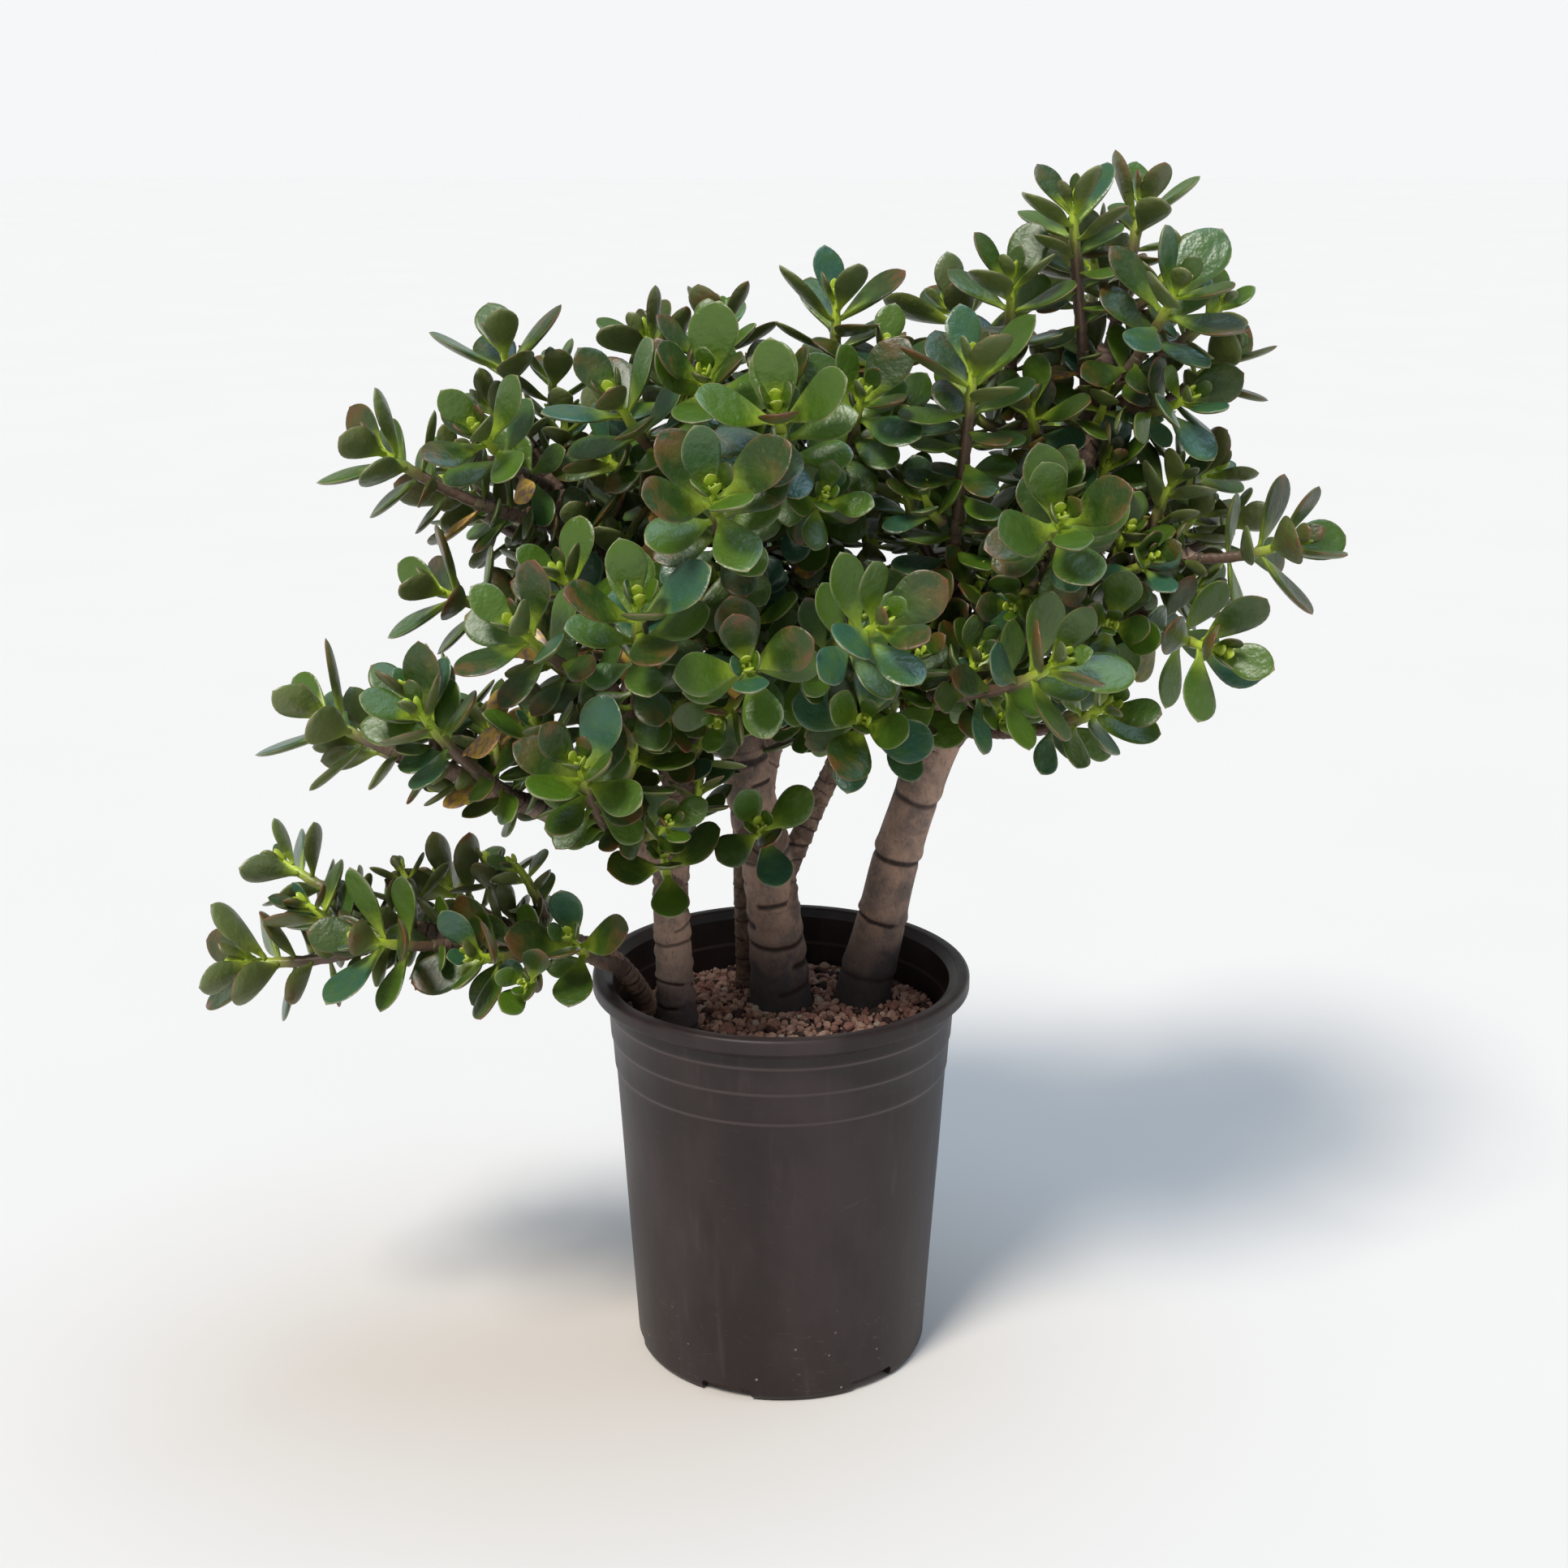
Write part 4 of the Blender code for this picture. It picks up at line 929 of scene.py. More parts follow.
def tube(path, end, radius_at, sides):
    """Points and faces of a tube round a path, from its start to a distance along it."""
    points = []
    rings = max(2, round(end / RING_GAP)) + 1
    distances = [end * ring / (rings - 1) for ring in range(rings)]
    frames = path.frames(distances, any_side(path))
    for distance, (centre, heading, side, other) in zip(distances, frames):
        for corner in range(sides):
            turn = 2 * pi * corner / sides
            way = side * cos(turn) + other * sin(turn)
            lumpy = 1 + LUMP * noise.noise((centre + way * LUMP_REACH) * LUMP_SCALE)
            points.append(centre + way * radius_at(distance) * lumpy)
    return points, ring_faces(rings, sides)


def wood_radius(limb):
    """The limb's taper, with a swollen foot where it meets its parent or the mix."""
    length = limb["path"].length
    swell = TRUNK_SWELL if limb["trunk"] else BRANCH_SWELL
    start = ROOTED if limb["trunk"] else 0.0
    reach = SWELL_REACH * limb["start_radius"]

    def radius_at(distance):
        thinner = limb["end_radius"] - limb["start_radius"]
        plain = limb["start_radius"] + thinner * distance / length
        return plain * (1 + swell * SWELL_BASE ** (-((distance - start) / reach) ** 2))
    return radius_at


def melted(name, parts):
    """One skin over overlapping closed parts."""
    heap = Heap()
    for points, faces in parts:
        heap.add(points, faces)
    tubes = in_view(name, heap.mesh(name, bark))
    remesh = tubes.modifiers.new("skin", "REMESH")
    remesh.mode = "VOXEL"
    remesh.voxel_size = VOXEL
    relax = tubes.modifiers.new("relax", "SMOOTH")
    relax.factor = 0.5
    relax.iterations = 7
    mesh = applied(tubes)
    bpy.data.objects.remove(tubes, do_unlink=True)
    return mesh


stem_parts = {stem: [] for stem, *_ in TRUNKS.values()}
for limb in limbs.values():
    sides = THICK_SIDES if limb["start_radius"] > THICK_LIMB else THIN_SIDES
    path = limb["path"]
    stem_parts[limb["stem"]].append(tube(path, path.length, wood_radius(limb), sides))
for shoot in shoots.values():
    twig = tube(shoot["path"], shoot["foot"], lambda distance: TWIG_RADIUS, TWIG_SIDES)
    stem_parts[limbs[shoot["parent"]]["stem"]].append(twig)
stem_meshes = {stem: melted(stem, parts) for stem, parts in stem_parts.items()}
for stem, mesh in stem_meshes.items():
    print(f"{stem}: {len(mesh.vertices)} points")

# %% [markdown]
# ## Leaf scars
# Every pair of fallen leaves leaves a line round the stem. On thick wood the lines are far apart
# and broken, on thin wood they are close and whole. For each limb a list of lines is drawn from one
# seeded generator, with their spacing, tilt, width and the share of the way round that they run. A
# point of the skin belongs to the limb whose middle line is nearest, so its distance along the limb
# and its angle round it say how deep in a scar it lies.

# %% Scars on each limb
# Each habit: spacing in metres from and to, half width of the line, share of the way round, tilt.
SCAR_HABITS = {
    "centre": (0.014, 0.025, 0.0026, 0.62, 0.16),
    "left": (0.010, 0.019, 0.0015, 0.85, 0.45),
    "right": (0.042, 0.060, 0.0023, 1.00, 0.12),
    "low_left": (0.0060, 0.0090, 0.0008, 0.95, 0.10),
    "back": (0.010, 0.018, 0.0007, 0.90, 0.15),
    "centre_side": (0.006, 0.013, 0.0009, 0.75, 0.30),
}
BRANCH_HABIT = (0.008, 0.016, 0.0007, 0.90, 0.18)
TWIG_HABIT = (0.006, 0.010, 0.0006, 0.95, 0.10)
ROUGH_LIMBS = ("centre_side", "left_up", "back")
THIN_TRUNK_YOUTH = {"back": 0.25, "low_left": 0.12}
BRANCH_YOUTH, TWIG_YOUTH = 0.25, 0.72
SAMPLE_GAP = 0.0015

limb_draw = np.random.default_rng(17)


def draw_scars(length, habit):
    """Rows of (distance, half width, share round, facing, tilt, tilt's direction, strength)."""
    near, far, half_width, share, tilt = habit
    rows = []
    distance = limb_draw.uniform(near, far)
    while distance < length:
        rows.append((distance,
                     half_width * limb_draw.uniform(0.7, 1.4),
                     min(1.0, share * limb_draw.uniform(0.6, 1.5)),
                     limb_draw.uniform(0, 2 * pi),
                     tilt * limb_draw.uniform(0.2, 1.0),
                     limb_draw.uniform(0, 2 * pi),
                     limb_draw.uniform(0.55, 1.0)))
        distance += limb_draw.uniform(near, far)
    return rows


def middle_line(path, end, habit, youth, rough):
    """Samples along a limb that the skin's points are compared with, and the limb's scars."""
    distances = np.arange(0.0, end, SAMPLE_GAP).tolist()
    return {"distances": distances, "samples": path.frames(distances, any_side(path)),
            "scars": draw_scars(end, habit), "youth": youth, "rough": rough, "end": end}


lines = {stem: [] for stem in stem_parts}
for name, limb in limbs.items():
    youth = THIN_TRUNK_YOUTH.get(name, 0.0 if limb["trunk"] else BRANCH_YOUTH)
    lines[limb["stem"]].append(middle_line(
        limb["path"], limb["path"].length, SCAR_HABITS.get(name, BRANCH_HABIT), youth,
        1.0 if name in ROUGH_LIMBS else 0.0))
for shoot in shoots.values():
    lines[limbs[shoot["parent"]]["stem"]].append(middle_line(
        shoot["path"], shoot["foot"], TWIG_HABIT, TWIG_YOUTH, 0.0))
print(f"{sum(len(line['scars']) for kept in lines.values() for line in kept)} scars are drawn")

# %% [markdown]
# A scar is a dark sunken line with a raised lip beside it. Both are smooth bumps in the distance
# from the line, which wanders a little. A line that runs only part of the way round fades out at
# its ends, and thin wood is pressed less.

# %% Press the scars into the skin
SCAR_DEPTH = 0.0012
SCAR_LIP = 0.0011
SCAR_WANDER, WANDER_SCALE = 0.0012, 90
SCAR_FADE, WHOLE_ROUND = 0.08, 0.97
LIP_AWAY, LIP_SPREAD = 2.2, 1.8
FULL_DEPTH_RADIUS, LEAST_DEPTH = 0.012, 0.35
YOUTH_GAIN = 0.25


def skin_of_each(mesh, lines):
    """For each line, its points of the skin: index, distance, angle, radius and wander."""
    tree = KDTree(sum(len(line["samples"]) for line in lines))
    owners = []
    for number, line in enumerate(lines):
        for order, sample in enumerate(line["samples"]):
            tree.insert(sample[0], len(owners))
            owners.append((number, order))
    tree.balance()
    members = [[] for _ in lines]
    for vertex in mesh.vertices:
        number, order = owners[tree.find(vertex.co)[1]]
        centre, heading, side, other = lines[number]["samples"][order]
        away = vertex.co - centre
        members[number].append((vertex.index,
                                lines[number]["distances"][order] + away.dot(heading),
                                np.arctan2(away.dot(other), away.dot(side)),
                                away.length,
                                noise.noise(vertex.co * WANDER_SCALE)))
    return members


def scar_marks(scar, distance, angle, radius, wander):
    """How strongly each point lies in one scar, and on its lip."""
    centre, half_width, round_share, facing, tilt, tilt_way, strength = scar
    offset = distance - centre + tilt * radius * np.cos(angle - tilt_way) + SCAR_WANDER * wander
    turned = np.abs((angle - facing + pi) % (2 * pi) - pi) / pi
    whole = round_share >= WHOLE_ROUND
    shown = 1.0 if whole else np.clip((round_share - turned) / SCAR_FADE + 0.5, 0, 1)
    mark = np.exp(-(offset / half_width) ** 2) * shown * strength
    beside = (offset - LIP_AWAY * half_width) / (LIP_SPREAD * half_width)
    return mark, np.exp(-beside ** 2) * strength


def press_scars(mesh, lines):
    count = len(mesh.vertices)
    ring, youth, rough, push = (np.zeros(count) for _ in range(4))
    for line, members in zip(lines, skin_of_each(mesh, lines)):
        if not members:
            continue
        index, distance, angle, radius, wander = np.array(members).T
        index = index.astype(int)
        share = np.clip(distance / line["end"], 0, 1)
        youth[index] = line["youth"] + YOUTH_GAIN * share * (line["youth"] > 0)
        rough[index] = line["rough"]
        thick = np.clip(radius / FULL_DEPTH_RADIUS, LEAST_DEPTH, 1.0)
        for scar in line["scars"]:
            mark, lip = scar_marks(scar, distance, angle, radius, wander)
            ring[index] = np.maximum(ring[index], mark)
            push[index] += thick * (SCAR_LIP * lip - SCAR_DEPTH * mark)
    normals, points = np.zeros(count * 3), np.zeros(count * 3)
    mesh.vertices.foreach_get("normal", normals)
    mesh.vertices.foreach_get("co", points)
    pushed = points.reshape(-1, 3) + normals.reshape(-1, 3) * push[:, None]
    mesh.vertices.foreach_set("co", pushed.ravel())
    for trait, values in (("ring", ring), ("youth", youth), ("rough", rough)):
        write_trait(mesh, trait, values)
    mesh.shade_smooth()
    mesh.update()


for stem, mesh in stem_meshes.items():
    press_scars(mesh, lines[stem])
    mesh.materials.clear()
    mesh.materials.append(bark)
    add_piece(f"{stem}_bark", mesh, "bark", stem)
print("the stems have their scars")

# %% [markdown]
# ## The grit
# Grit is a heap of separate stones, and its look is all in their shapes and the dark gaps between.
# A low uneven bed fills the pot, and many hundreds of small angular stones are scattered on it, the
# large ones first, each only where it doesn't sit inside another or in a trunk.

# %% The bed
BED_RINGS = 34
BED_SIDES = 120
BED_WALL_RINGS = 8
BED_SUNK = 0.0022
BED_LUMPS = ((22, 0.3, 0.0022), (70, 4.1, 0.0009))

mix_radius = bore_radius(MIX_TOP) - GAP


def bed_height(x, y):
    share = (x * x + y * y) ** 0.5 / mix_radius
    lumps = sum(noise.noise(Vector((x * scale, y * scale, layer))) * rise
                for scale, layer, rise in BED_LUMPS)
    return MIX_TOP + MIX_CROWN * (1 - share * share) + lumps - BED_SUNK


def bed():
    """A closed bed: the bottom, its bevelled corner, the wall, and rings that close in on top."""
    low, corner = FLOOR + GAP, FLOOR + 2 * WALL
    points = [(0, 0, low), (0, 0, bed_height(0, 0))]
    rings = [(bore_radius(FLOOR + WALL) - WALL - 2 * GAP, low),
             (bore_radius(corner) - GAP, corner + GAP)]
    wall = np.linspace(corner + 0.02, MIX_TOP - 0.006, BED_WALL_RINGS)
    rings += [(bore_radius(z) - GAP, z) for z in wall]
    rings += [(mix_radius * (1 - ring / BED_RINGS), None) for ring in range(BED_RINGS)]
    for radius, z in rings:
        for side in range(BED_SIDES):
            turn = 2 * pi * side / BED_SIDES
            x, y = radius * cos(turn), radius * sin(turn)
            points.append((x, y, bed_height(x, y) if z is None else z))
    return points, pointed_faces(len(rings), BED_SIDES, 2, 0, 1)


grit = Heap("kind", "buried")
# The bed is painted dark as shade in the gaps between the stones.
grit.add(*bed(), kind=0.1, buried=0.7)
print(f"the bed lies {1000 * (POT_HEIGHT - MIX_TOP):.0f} mm below the rim")

# %% The shape of a stone
FLAT_CUTS = 7
CUT_LEVELS = (0.55, 0.85)
LEAST_SQUASH, MOST_SQUASH = (0.75, 0.62, 0.50), (1.15, 0.95, 0.80)

stone_draw = np.random.default_rng(5)


def round_stone(detail):
    """Corners and triangles of a round stone, one unit in radius, before it is knocked about."""
    shaper = bmesh.new()
    bmesh.ops.create_icosphere(shaper, subdivisions=detail, radius=1.0)
    corners = np.array([vertex.co[:] for vertex in shaper.verts])
    triangles = [tuple(vertex.index for vertex in face.verts) for face in shaper.faces]
    shaper.free()
    return corners, triangles


def knocked(corners, size):
    """An angular stone: cut flat by a few planes, squashed and turned at random."""
    shaped = corners.copy()
    for _ in range(FLAT_CUTS):
        facing = stone_draw.normal(size=3)
        facing /= np.linalg.norm(facing)
        over = shaped @ facing - stone_draw.uniform(*CUT_LEVELS)
        shaped -= np.outer(np.clip(over, 0, None), facing)
    shaped *= stone_draw.uniform(LEAST_SQUASH, MOST_SQUASH)
    spin = Matrix.Rotation(stone_draw.uniform(0, 2 * pi), 3, stone_draw.normal(size=3))
    return shaped @ np.array(spin) * size


large, small = round_stone(2), round_stone(1)
print(f"a large stone has {len(large[1])} faces, a small one {len(small[1])}")

# %% Scatter the stones
STONES_TRIED = 2900
PLACES_TRIED = 40
SMALLEST_STONE, STONE_SPREAD = 0.0017, 0.0038
LARGE_STONE = 0.0026
TRUNK_ROOM = 1.08
CLOSEST = 0.66
STONE_LIFT = 0.0006
# How much painted shade a point of a stone gets, from how near it lies to the bed
BURIED_AT_BED, BURIED_FADE, MOST_BURIED = 0.55, 0.004, 0.6


def trunk_at_mix():
    """Middle and radius of each trunk where it leaves the grit."""
    holes = []
    for limb in limbs.values():
        if limb["trunk"]:
            middle = limb["path"].at(ROOTED + 0.002)
            holes.append((middle.x, middle.y, limb["start_radius"] * TRUNK_ROOM))
    return holes


def has_room(x, y, size):
    for hole_x, hole_y, hole_radius in holes:
        if (x - hole_x) ** 2 + (y - hole_y) ** 2 < (hole_radius + 0.5 * size) ** 2:
            return False
    return not np.any(np.hypot(laid[:, 0] - x, laid[:, 1] - y) < CLOSEST * (laid[:, 2] + size))


holes = trunk_at_mix()
laid = np.zeros((0, 3))
sizes = SMALLEST_STONE + STONE_SPREAD * stone_draw.power(0.55, STONES_TRIED) ** 1.6
for size in np.sort(sizes)[::-1]:
    for _ in range(PLACES_TRIED):
        turn = stone_draw.uniform(0, 2 * pi)
        reach = (mix_radius - size * 1.1) * stone_draw.uniform() ** 0.5
        x, y = reach * cos(turn), reach * sin(turn)
        if has_room(x, y, size):
            laid = np.vstack((laid, (x, y, size)))
            break
for x, y, size in laid:
    sunk = size * stone_draw.uniform(-0.1, 0.55)
    corners, triangles = large if size > LARGE_STONE else small
    points = knocked(corners, size) + (x, y, bed_height(x, y) + sunk + STONE_LIFT)
    # Points near the bed get painted shade, as in the shadow under the stone
    above_bed = points[:, 2] - bed_height(x, y)
    grit.add(points, triangles, kind=stone_draw.uniform(),
             buried=np.clip(BURIED_AT_BED - above_bed / BURIED_FADE, 0, MOST_BURIED))
grit_mesh = grit.mesh("loose_grit", grit_mix, radians(28))
add_piece("loose_grit", grit_mesh, "grit_mix", "potting_mix")
print(f"{len(laid)} stones, {len(grit_mesh.polygons)} faces")

# %% [markdown]
# ## Finding each leaf again
# The solids hold one simple faceted leaf for each fine one. When they were grown, a leaf with
# something in its way bent aside or stayed small, in one of a few set ways. The same ways are tried
# here, and the right one is the one whose blunt end meets two corners of the solid. A leaf that
# meets none wasn't grown at all.

# %% Match the leaves to the solids
WIDEST = 0.55
BLUNT = 0.54
LEAF_CUP = 0.06
# Each way: change of pitch and turn sideways, both in degrees, and scale.
SWAYS = (
    (0, 0, 1.0), (12, 0, 1.0), (-12, 0, 1.0), (0, 14, 1.0), (0, -14, 1.0), (24, 0, 1.0),
    (-22, 0, 1.0),
    (0, 28, 0.95), (0, -28, 0.95), (12, 16, 0.9), (12, -16, 0.9), (-12, 16, 0.9), (-12, -16, 0.9),
    (34, 0, 0.85), (-28, 0, 0.85), (0, 0, 0.75), (24, 20, 0.75), (24, -20, 0.75), (-24, 20, 0.75),
    (-24, -20, 0.75), (0, 0, 0.55), (20, 0, 0.5), (-20, 0, 0.5),
)


def leaning_leaf(foot, heading, outwards, pitch, length):
    """Foot, length direction, width direction, upper normal and length of one leaf."""
    along = heading * cos(pitch) + outwards * sin(pitch)
    normal = heading * sin(pitch) - outwards * cos(pitch)
    return foot, along, normal.cross(along), normal, length


def half_leaf_width(length):
    return LEAF_WIDTH / LEAF_LENGTH * length / 2


def half_leaf_thickness(length):
    return LEAF_THICKNESS / 2 * (0.35 + 0.65 * min(1.0, length / LEAF_LENGTH))


def shoot_leaf(shoot, pair, side_sign, sway):
    pitch_change, sideways, scale = sway
    upper, lower = shoot["frames"][pair], shoot["frames"][pair + 1]
    heading = (upper[1] + lower[1]).normalized()
    out = upper[2] if pair % 2 == 0 else upper[3]
    radius = (shoot_radius(pair) + shoot_radius(pair + 1)) / 2
    foot = (upper[0] + lower[0]) / 2 + out * side_sign * radius
    uneven = sin(2.4 * pair + 1.7 * shoot["number"] + side_sign)
    pitch = radians(LEAF_PITCH[min(pair, len(LEAF_PITCH) - 1)] + LEAF_SWING * uneven + pitch_change)
    swing = radians(sideways + LEAF_SWING * cos(3.1 * uneven))
    outwards = Matrix.Rotation(swing, 3, heading) @ (out * side_sign)
    age = LEAF_AGE[min(pair, len(LEAF_AGE) - 1)]
    return leaning_leaf(foot, heading, outwards, pitch, LEAF_LENGTH * shoot["size"] * age * scale)


def end_corners(leaf):
    foot, along, width_way, normal, length = leaf
    half_width = half_leaf_width(length) * BLUNT
    end = foot + along * length + normal * length * LEAF_CUP
    return end - width_way * half_width, end + width_way * half_width


def find_leaves(name, shoot):
    corners = solids[f"shoot_{name}"].data.vertices
    tree = KDTree(len(corners))
    for vertex in corners:
        tree.insert(vertex.co, vertex.index)
    tree.balance()
    leaves = {}
    for pair in range(shoot["pairs"]):
        for side_sign in (1, -1):
            for sway in SWAYS:
                leaf = shoot_leaf(shoot, pair, side_sign, sway)
                if all(tree.find(corner)[2] < GAP for corner in end_corners(leaf)):
                    leaves[(pair, side_sign)] = leaf
                    break
    return leaves


for name, shoot in shoots.items():
    shoot["leaves"] = find_leaves(name, shoot)
print(f"{sum(len(shoot['leaves']) for shoot in shoots.values())} leaves are found in the solids")

# %% [markdown]
# ## One leaf
# A jade leaf is a thick spoon: a narrow foot that clasps the shoot, widest beyond the middle, then
# a blunt round end with a slight point. Its upper face is nearly flat with raised sides, its
# underside is full, and the two meet in a soft margin. The outline and the thickness are two short
# formulas, and each leaf is rings of points along them. Every leaf draws its own cup, twist and
# lean, because real leaves on one shoot are never copies.

# %% The leaf's formulas
LEAF_RINGS = 17
LEAF_SIDES = 18
FOOT_WIDTH, FOOT_ENDS = 0.20, 0.5
FOOT_THICK, FULL_THICK_AT = 0.46, 0.42
WIDEST_BEND = 1.68
UPPER_FULLNESS, UNDER_FULLNESS, UNDER_BEND = 0.72, 1.24, 0.15
MARGIN_SHARPNESS, MARGIN_STRENGTH = 7, 0.9
END_MARGIN, END_MARGIN_WIDTH = 0.93, 0.06
LAST_RING = 0.985
ROOT_INSIDE = 0.0012

ring_share = ((1 - np.cos(np.linspace(0, pi, LEAF_RINGS))) / 2)[1:-1]
side_angle = np.linspace(0, 2 * pi, LEAF_SIDES, endpoint=False)
side_out, side_up = np.cos(side_angle), np.sin(side_angle)


def leaf_outline(share, fullness):
    """Half the leaf's width, as a share of its widest."""
    blade = np.sin(pi * share ** WIDEST_BEND) ** fullness
    return np.maximum(blade, FOOT_WIDTH * (1 - share) ** 0.5 * (share < FOOT_ENDS))


def leaf_thickness(share):
    """Half the leaf's thickness, as a share of its thickest."""
    swelling = np.sin(pi / 2 * np.clip(share / FULL_THICK_AT, 0, 1))
    return (FOOT_THICK + (1 - FOOT_THICK) * swelling) * (1 - share ** 5) ** 0.5


def lens_rise(half_width, half_thick, raised):
    """The height of one ring's points: a flat upper face, raised sides and a full underside."""
    upper = UPPER_FULLNESS * half_thick * side_up
    under = UNDER_FULLNESS * half_thick * side_up * np.abs(side_up) ** UNDER_BEND
    return np.where(side_up > 0, upper, under) + raised * half_width * (side_out ** 2)


print(f"a leaf has {len(ring_share)} rings of {LEAF_SIDES} points and two ends")

# %% Draw one leaf
leaf_draw = np.random.default_rng(29)


def fine_leaf(leaf, lively=1.0):
    """Points, faces and the numbers along and margin and under of one leaf."""
    length = leaf[4]
    foot, along, width_way, normal = (np.array(part) for part in leaf[:4])
    half_width = half_leaf_width(length) * leaf_draw.uniform(0.92, 1.05)
    half_thick = half_leaf_thickness(length) * 0.92
    cup = LEAF_CUP + lively * leaf_draw.uniform(-0.07, 0.04)
    lean = lively * leaf_draw.uniform(-0.05, 0.05)
    twist = lively * leaf_draw.uniform(-0.22, 0.22)
    raised = leaf_draw.uniform(0.02, 0.17)
    fullness = leaf_draw.uniform(0.50, 0.68)
    wide = leaf_outline(ring_share, fullness) * half_width
    thick = leaf_thickness(ring_share) * half_thick
    points, margins, unders, alongs = [], [], [], []
    for share, w, t in zip(ring_share, wide, thick):
        middle = foot + along * (length * share * LAST_RING) + normal * (cup * length * share ** 2)
        middle = middle + width_way * (lean * length * share ** 2)
        turn = twist * share
        level = width_way * cos(turn) + normal * sin(turn)
        up = normal * cos(turn) - width_way * sin(turn)
        rise = lens_rise(w, min(t, w * 0.95), raised)
        points.append(middle + np.outer(w * side_out, level) + np.outer(rise, up))
        at_side = np.abs(side_out) ** MARGIN_SHARPNESS
        near_end = np.clip((share - END_MARGIN) / END_MARGIN_WIDTH, 0, 1)
        margins.append(at_side * MARGIN_STRENGTH + MARGIN_STRENGTH * near_end)
        unders.append(np.clip(0.5 - 3 * side_up, 0, 1))
        alongs.append(np.full(LEAF_SIDES, share))
    tip = foot + along * length + normal * (cup * length) + width_way * (lean * length)
    root = foot - along * ROOT_INSIDE
    points = np.concatenate(points + [tip[None], root[None]])
    faces = pointed_faces(len(ring_share), LEAF_SIDES, 0, len(points) - 1, len(points) - 2)
    return points, faces, {"along": np.concatenate(alongs + [[1.0, 0.0]]),
                           "margin": np.clip(np.concatenate(margins + [[1.0, 0.0]]), 0, 1),
                           "under": np.concatenate(unders + [[0.3, 0.5]])}


flat_leaf = (Vector(), Vector((1, 0, 0)), Vector((0, 1, 0)), Vector((0, 0, 1)), LEAF_LENGTH)
sample_points, sample_faces, _ = fine_leaf(flat_leaf)
sample_width = np.ptp(sample_points[:, 1])
print(f"a leaf has {len(sample_faces)} faces and is {1000 * sample_width:.0f} mm wide")

# %% [markdown]
# ## Filling the crown
# The solids hold the main shoots. The real crown is denser: old leaves still hang on bare twigs,
# and short side shoots break from every branch wherever there is light and room. They are grown
# here by trial. A leaf or a side shoot is tried at a place on the wood, turned a little where
# something is in its way, and kept only if it stays clear of all that stands already. Coarse closed
# hulls of the leaves make the trials quick.

# %% Coarse hulls
LEAF_CLEAR = 0.0006
NECK_SHARE, NECK_MOST = 0.16, 0.006
HULL_MIDDLE, HULL_REACH, STALK_REACH = 0.55, 0.62, 0.6
# A hull has four corners at the leaf's neck, four at its widest and two at its end.
HULL_FACES = [(0, 1, 2), (0, 2, 3)]
for corner in range(4):
    following = (corner + 1) % 4
    HULL_FACES += [(corner, following, 4 + following), (corner, 4 + following, 4 + corner)]
HULL_FACES += [(4, 5, 8), (5, 9, 8), (5, 6, 9), (6, 7, 9), (7, 8, 9), (7, 4, 8)]


def leaf_hull(leaf):
    """A coarse closed hull of one leaf, from just beyond its foot, with a ball that holds it."""
    foot, along, width_way, normal, length = leaf
    half_width = half_leaf_width(length) + LEAF_CLEAR
    half_thick = half_leaf_thickness(length) + LEAF_CLEAR
    neck = foot + along * min(NECK_SHARE * length, NECK_MOST)
    middle = foot + along * length * WIDEST
    end = foot + along * (length + LEAF_CLEAR) + normal * length * LEAF_CUP
    points = []
    for centre, wide, thick in ((neck, SHOOT_TIP, SHOOT_TIP), (middle, half_width, half_thick)):
        points += [centre - width_way * wide, centre + normal * thick,
                   centre + width_way * wide, centre - normal * thick]
    points += [end - width_way * half_width * BLUNT, end + width_way * half_width * BLUNT]
    ball = foot + along * length * HULL_MIDDLE, length * HULL_REACH
    return BVHTree.FromPolygons(points, HULL_FACES), *ball


def stalk_hull(frames):
    """A square hull round a stalk, with a ball that holds it."""
    points = []
    for ring, (centre, heading, side, other) in enumerate(frames):
        radius = shoot_radius(ring) + LEAF_CLEAR
        points += [centre + side * radius * a + other * radius * b
                   for a, b in ((1, 1), (-1, 1), (-1, -1), (1, -1))]
    top, foot = frames[0][0], frames[-1][0]
    reach = (top - foot).length * STALK_REACH + SHOOT_RADIUS
    return BVHTree.FromPolygons(points, ring_faces(len(frames), 4)), (top + foot) / 2, reach


print(f"a leaf's hull has {len(HULL_FACES)} faces")

# %% What stands in the way
class Standing:
    """Everything that a new leaf has to stay clear of."""

    def __init__(self, wood):
        self.wood = wood
        self.trees, self.centres, self.reaches = [], [], []

    def add(self, *hulls):
        for tree, centre, reach in hulls:
            self.trees.append(tree)
            self.centres.append(tuple(centre))
            self.reaches.append(reach)
        self.centre_table, self.reach_table = np.array(self.centres), np.array(self.reaches)

    def blocks(self, hull):
        tree, centre, reach = hull
        if tree.overlap(self.wood):
            return True
        apart = np.linalg.norm(self.centre_table - np.array(centre), axis=1)
        near = np.flatnonzero(apart < self.reach_table + reach)
        return any(tree.overlap(self.trees[number]) for number in near)


def joined_tree(names):
    points, faces = [], []
    for name in names:
        mesh = solids[name].data
        first = len(points)
        points += [vertex.co.copy() for vertex in mesh.vertices]
        faces += [tuple(first + corner for corner in face.vertices) for face in mesh.polygons]
    return BVHTree.FromPolygons(points, faces)


standing = Standing(joined_tree(["pot", "potting_mix"] + list(stem_parts)))
for shoot in shoots.values():
    standing.add(stalk_hull(shoot["frames"]), *map(leaf_hull, shoot["leaves"].values()))
print(f"{len(standing.trees)} stalks and leaves already stand")

# %% Old leaves on the bare twigs
TRIED_SWAYS = SWAYS[:19]
OLD_PITCH = 78
OLD_SIZE = 0.66
OLD_SPACING = 0.0100
OLD_SWING = 12
OLD_FOOT = 0.85
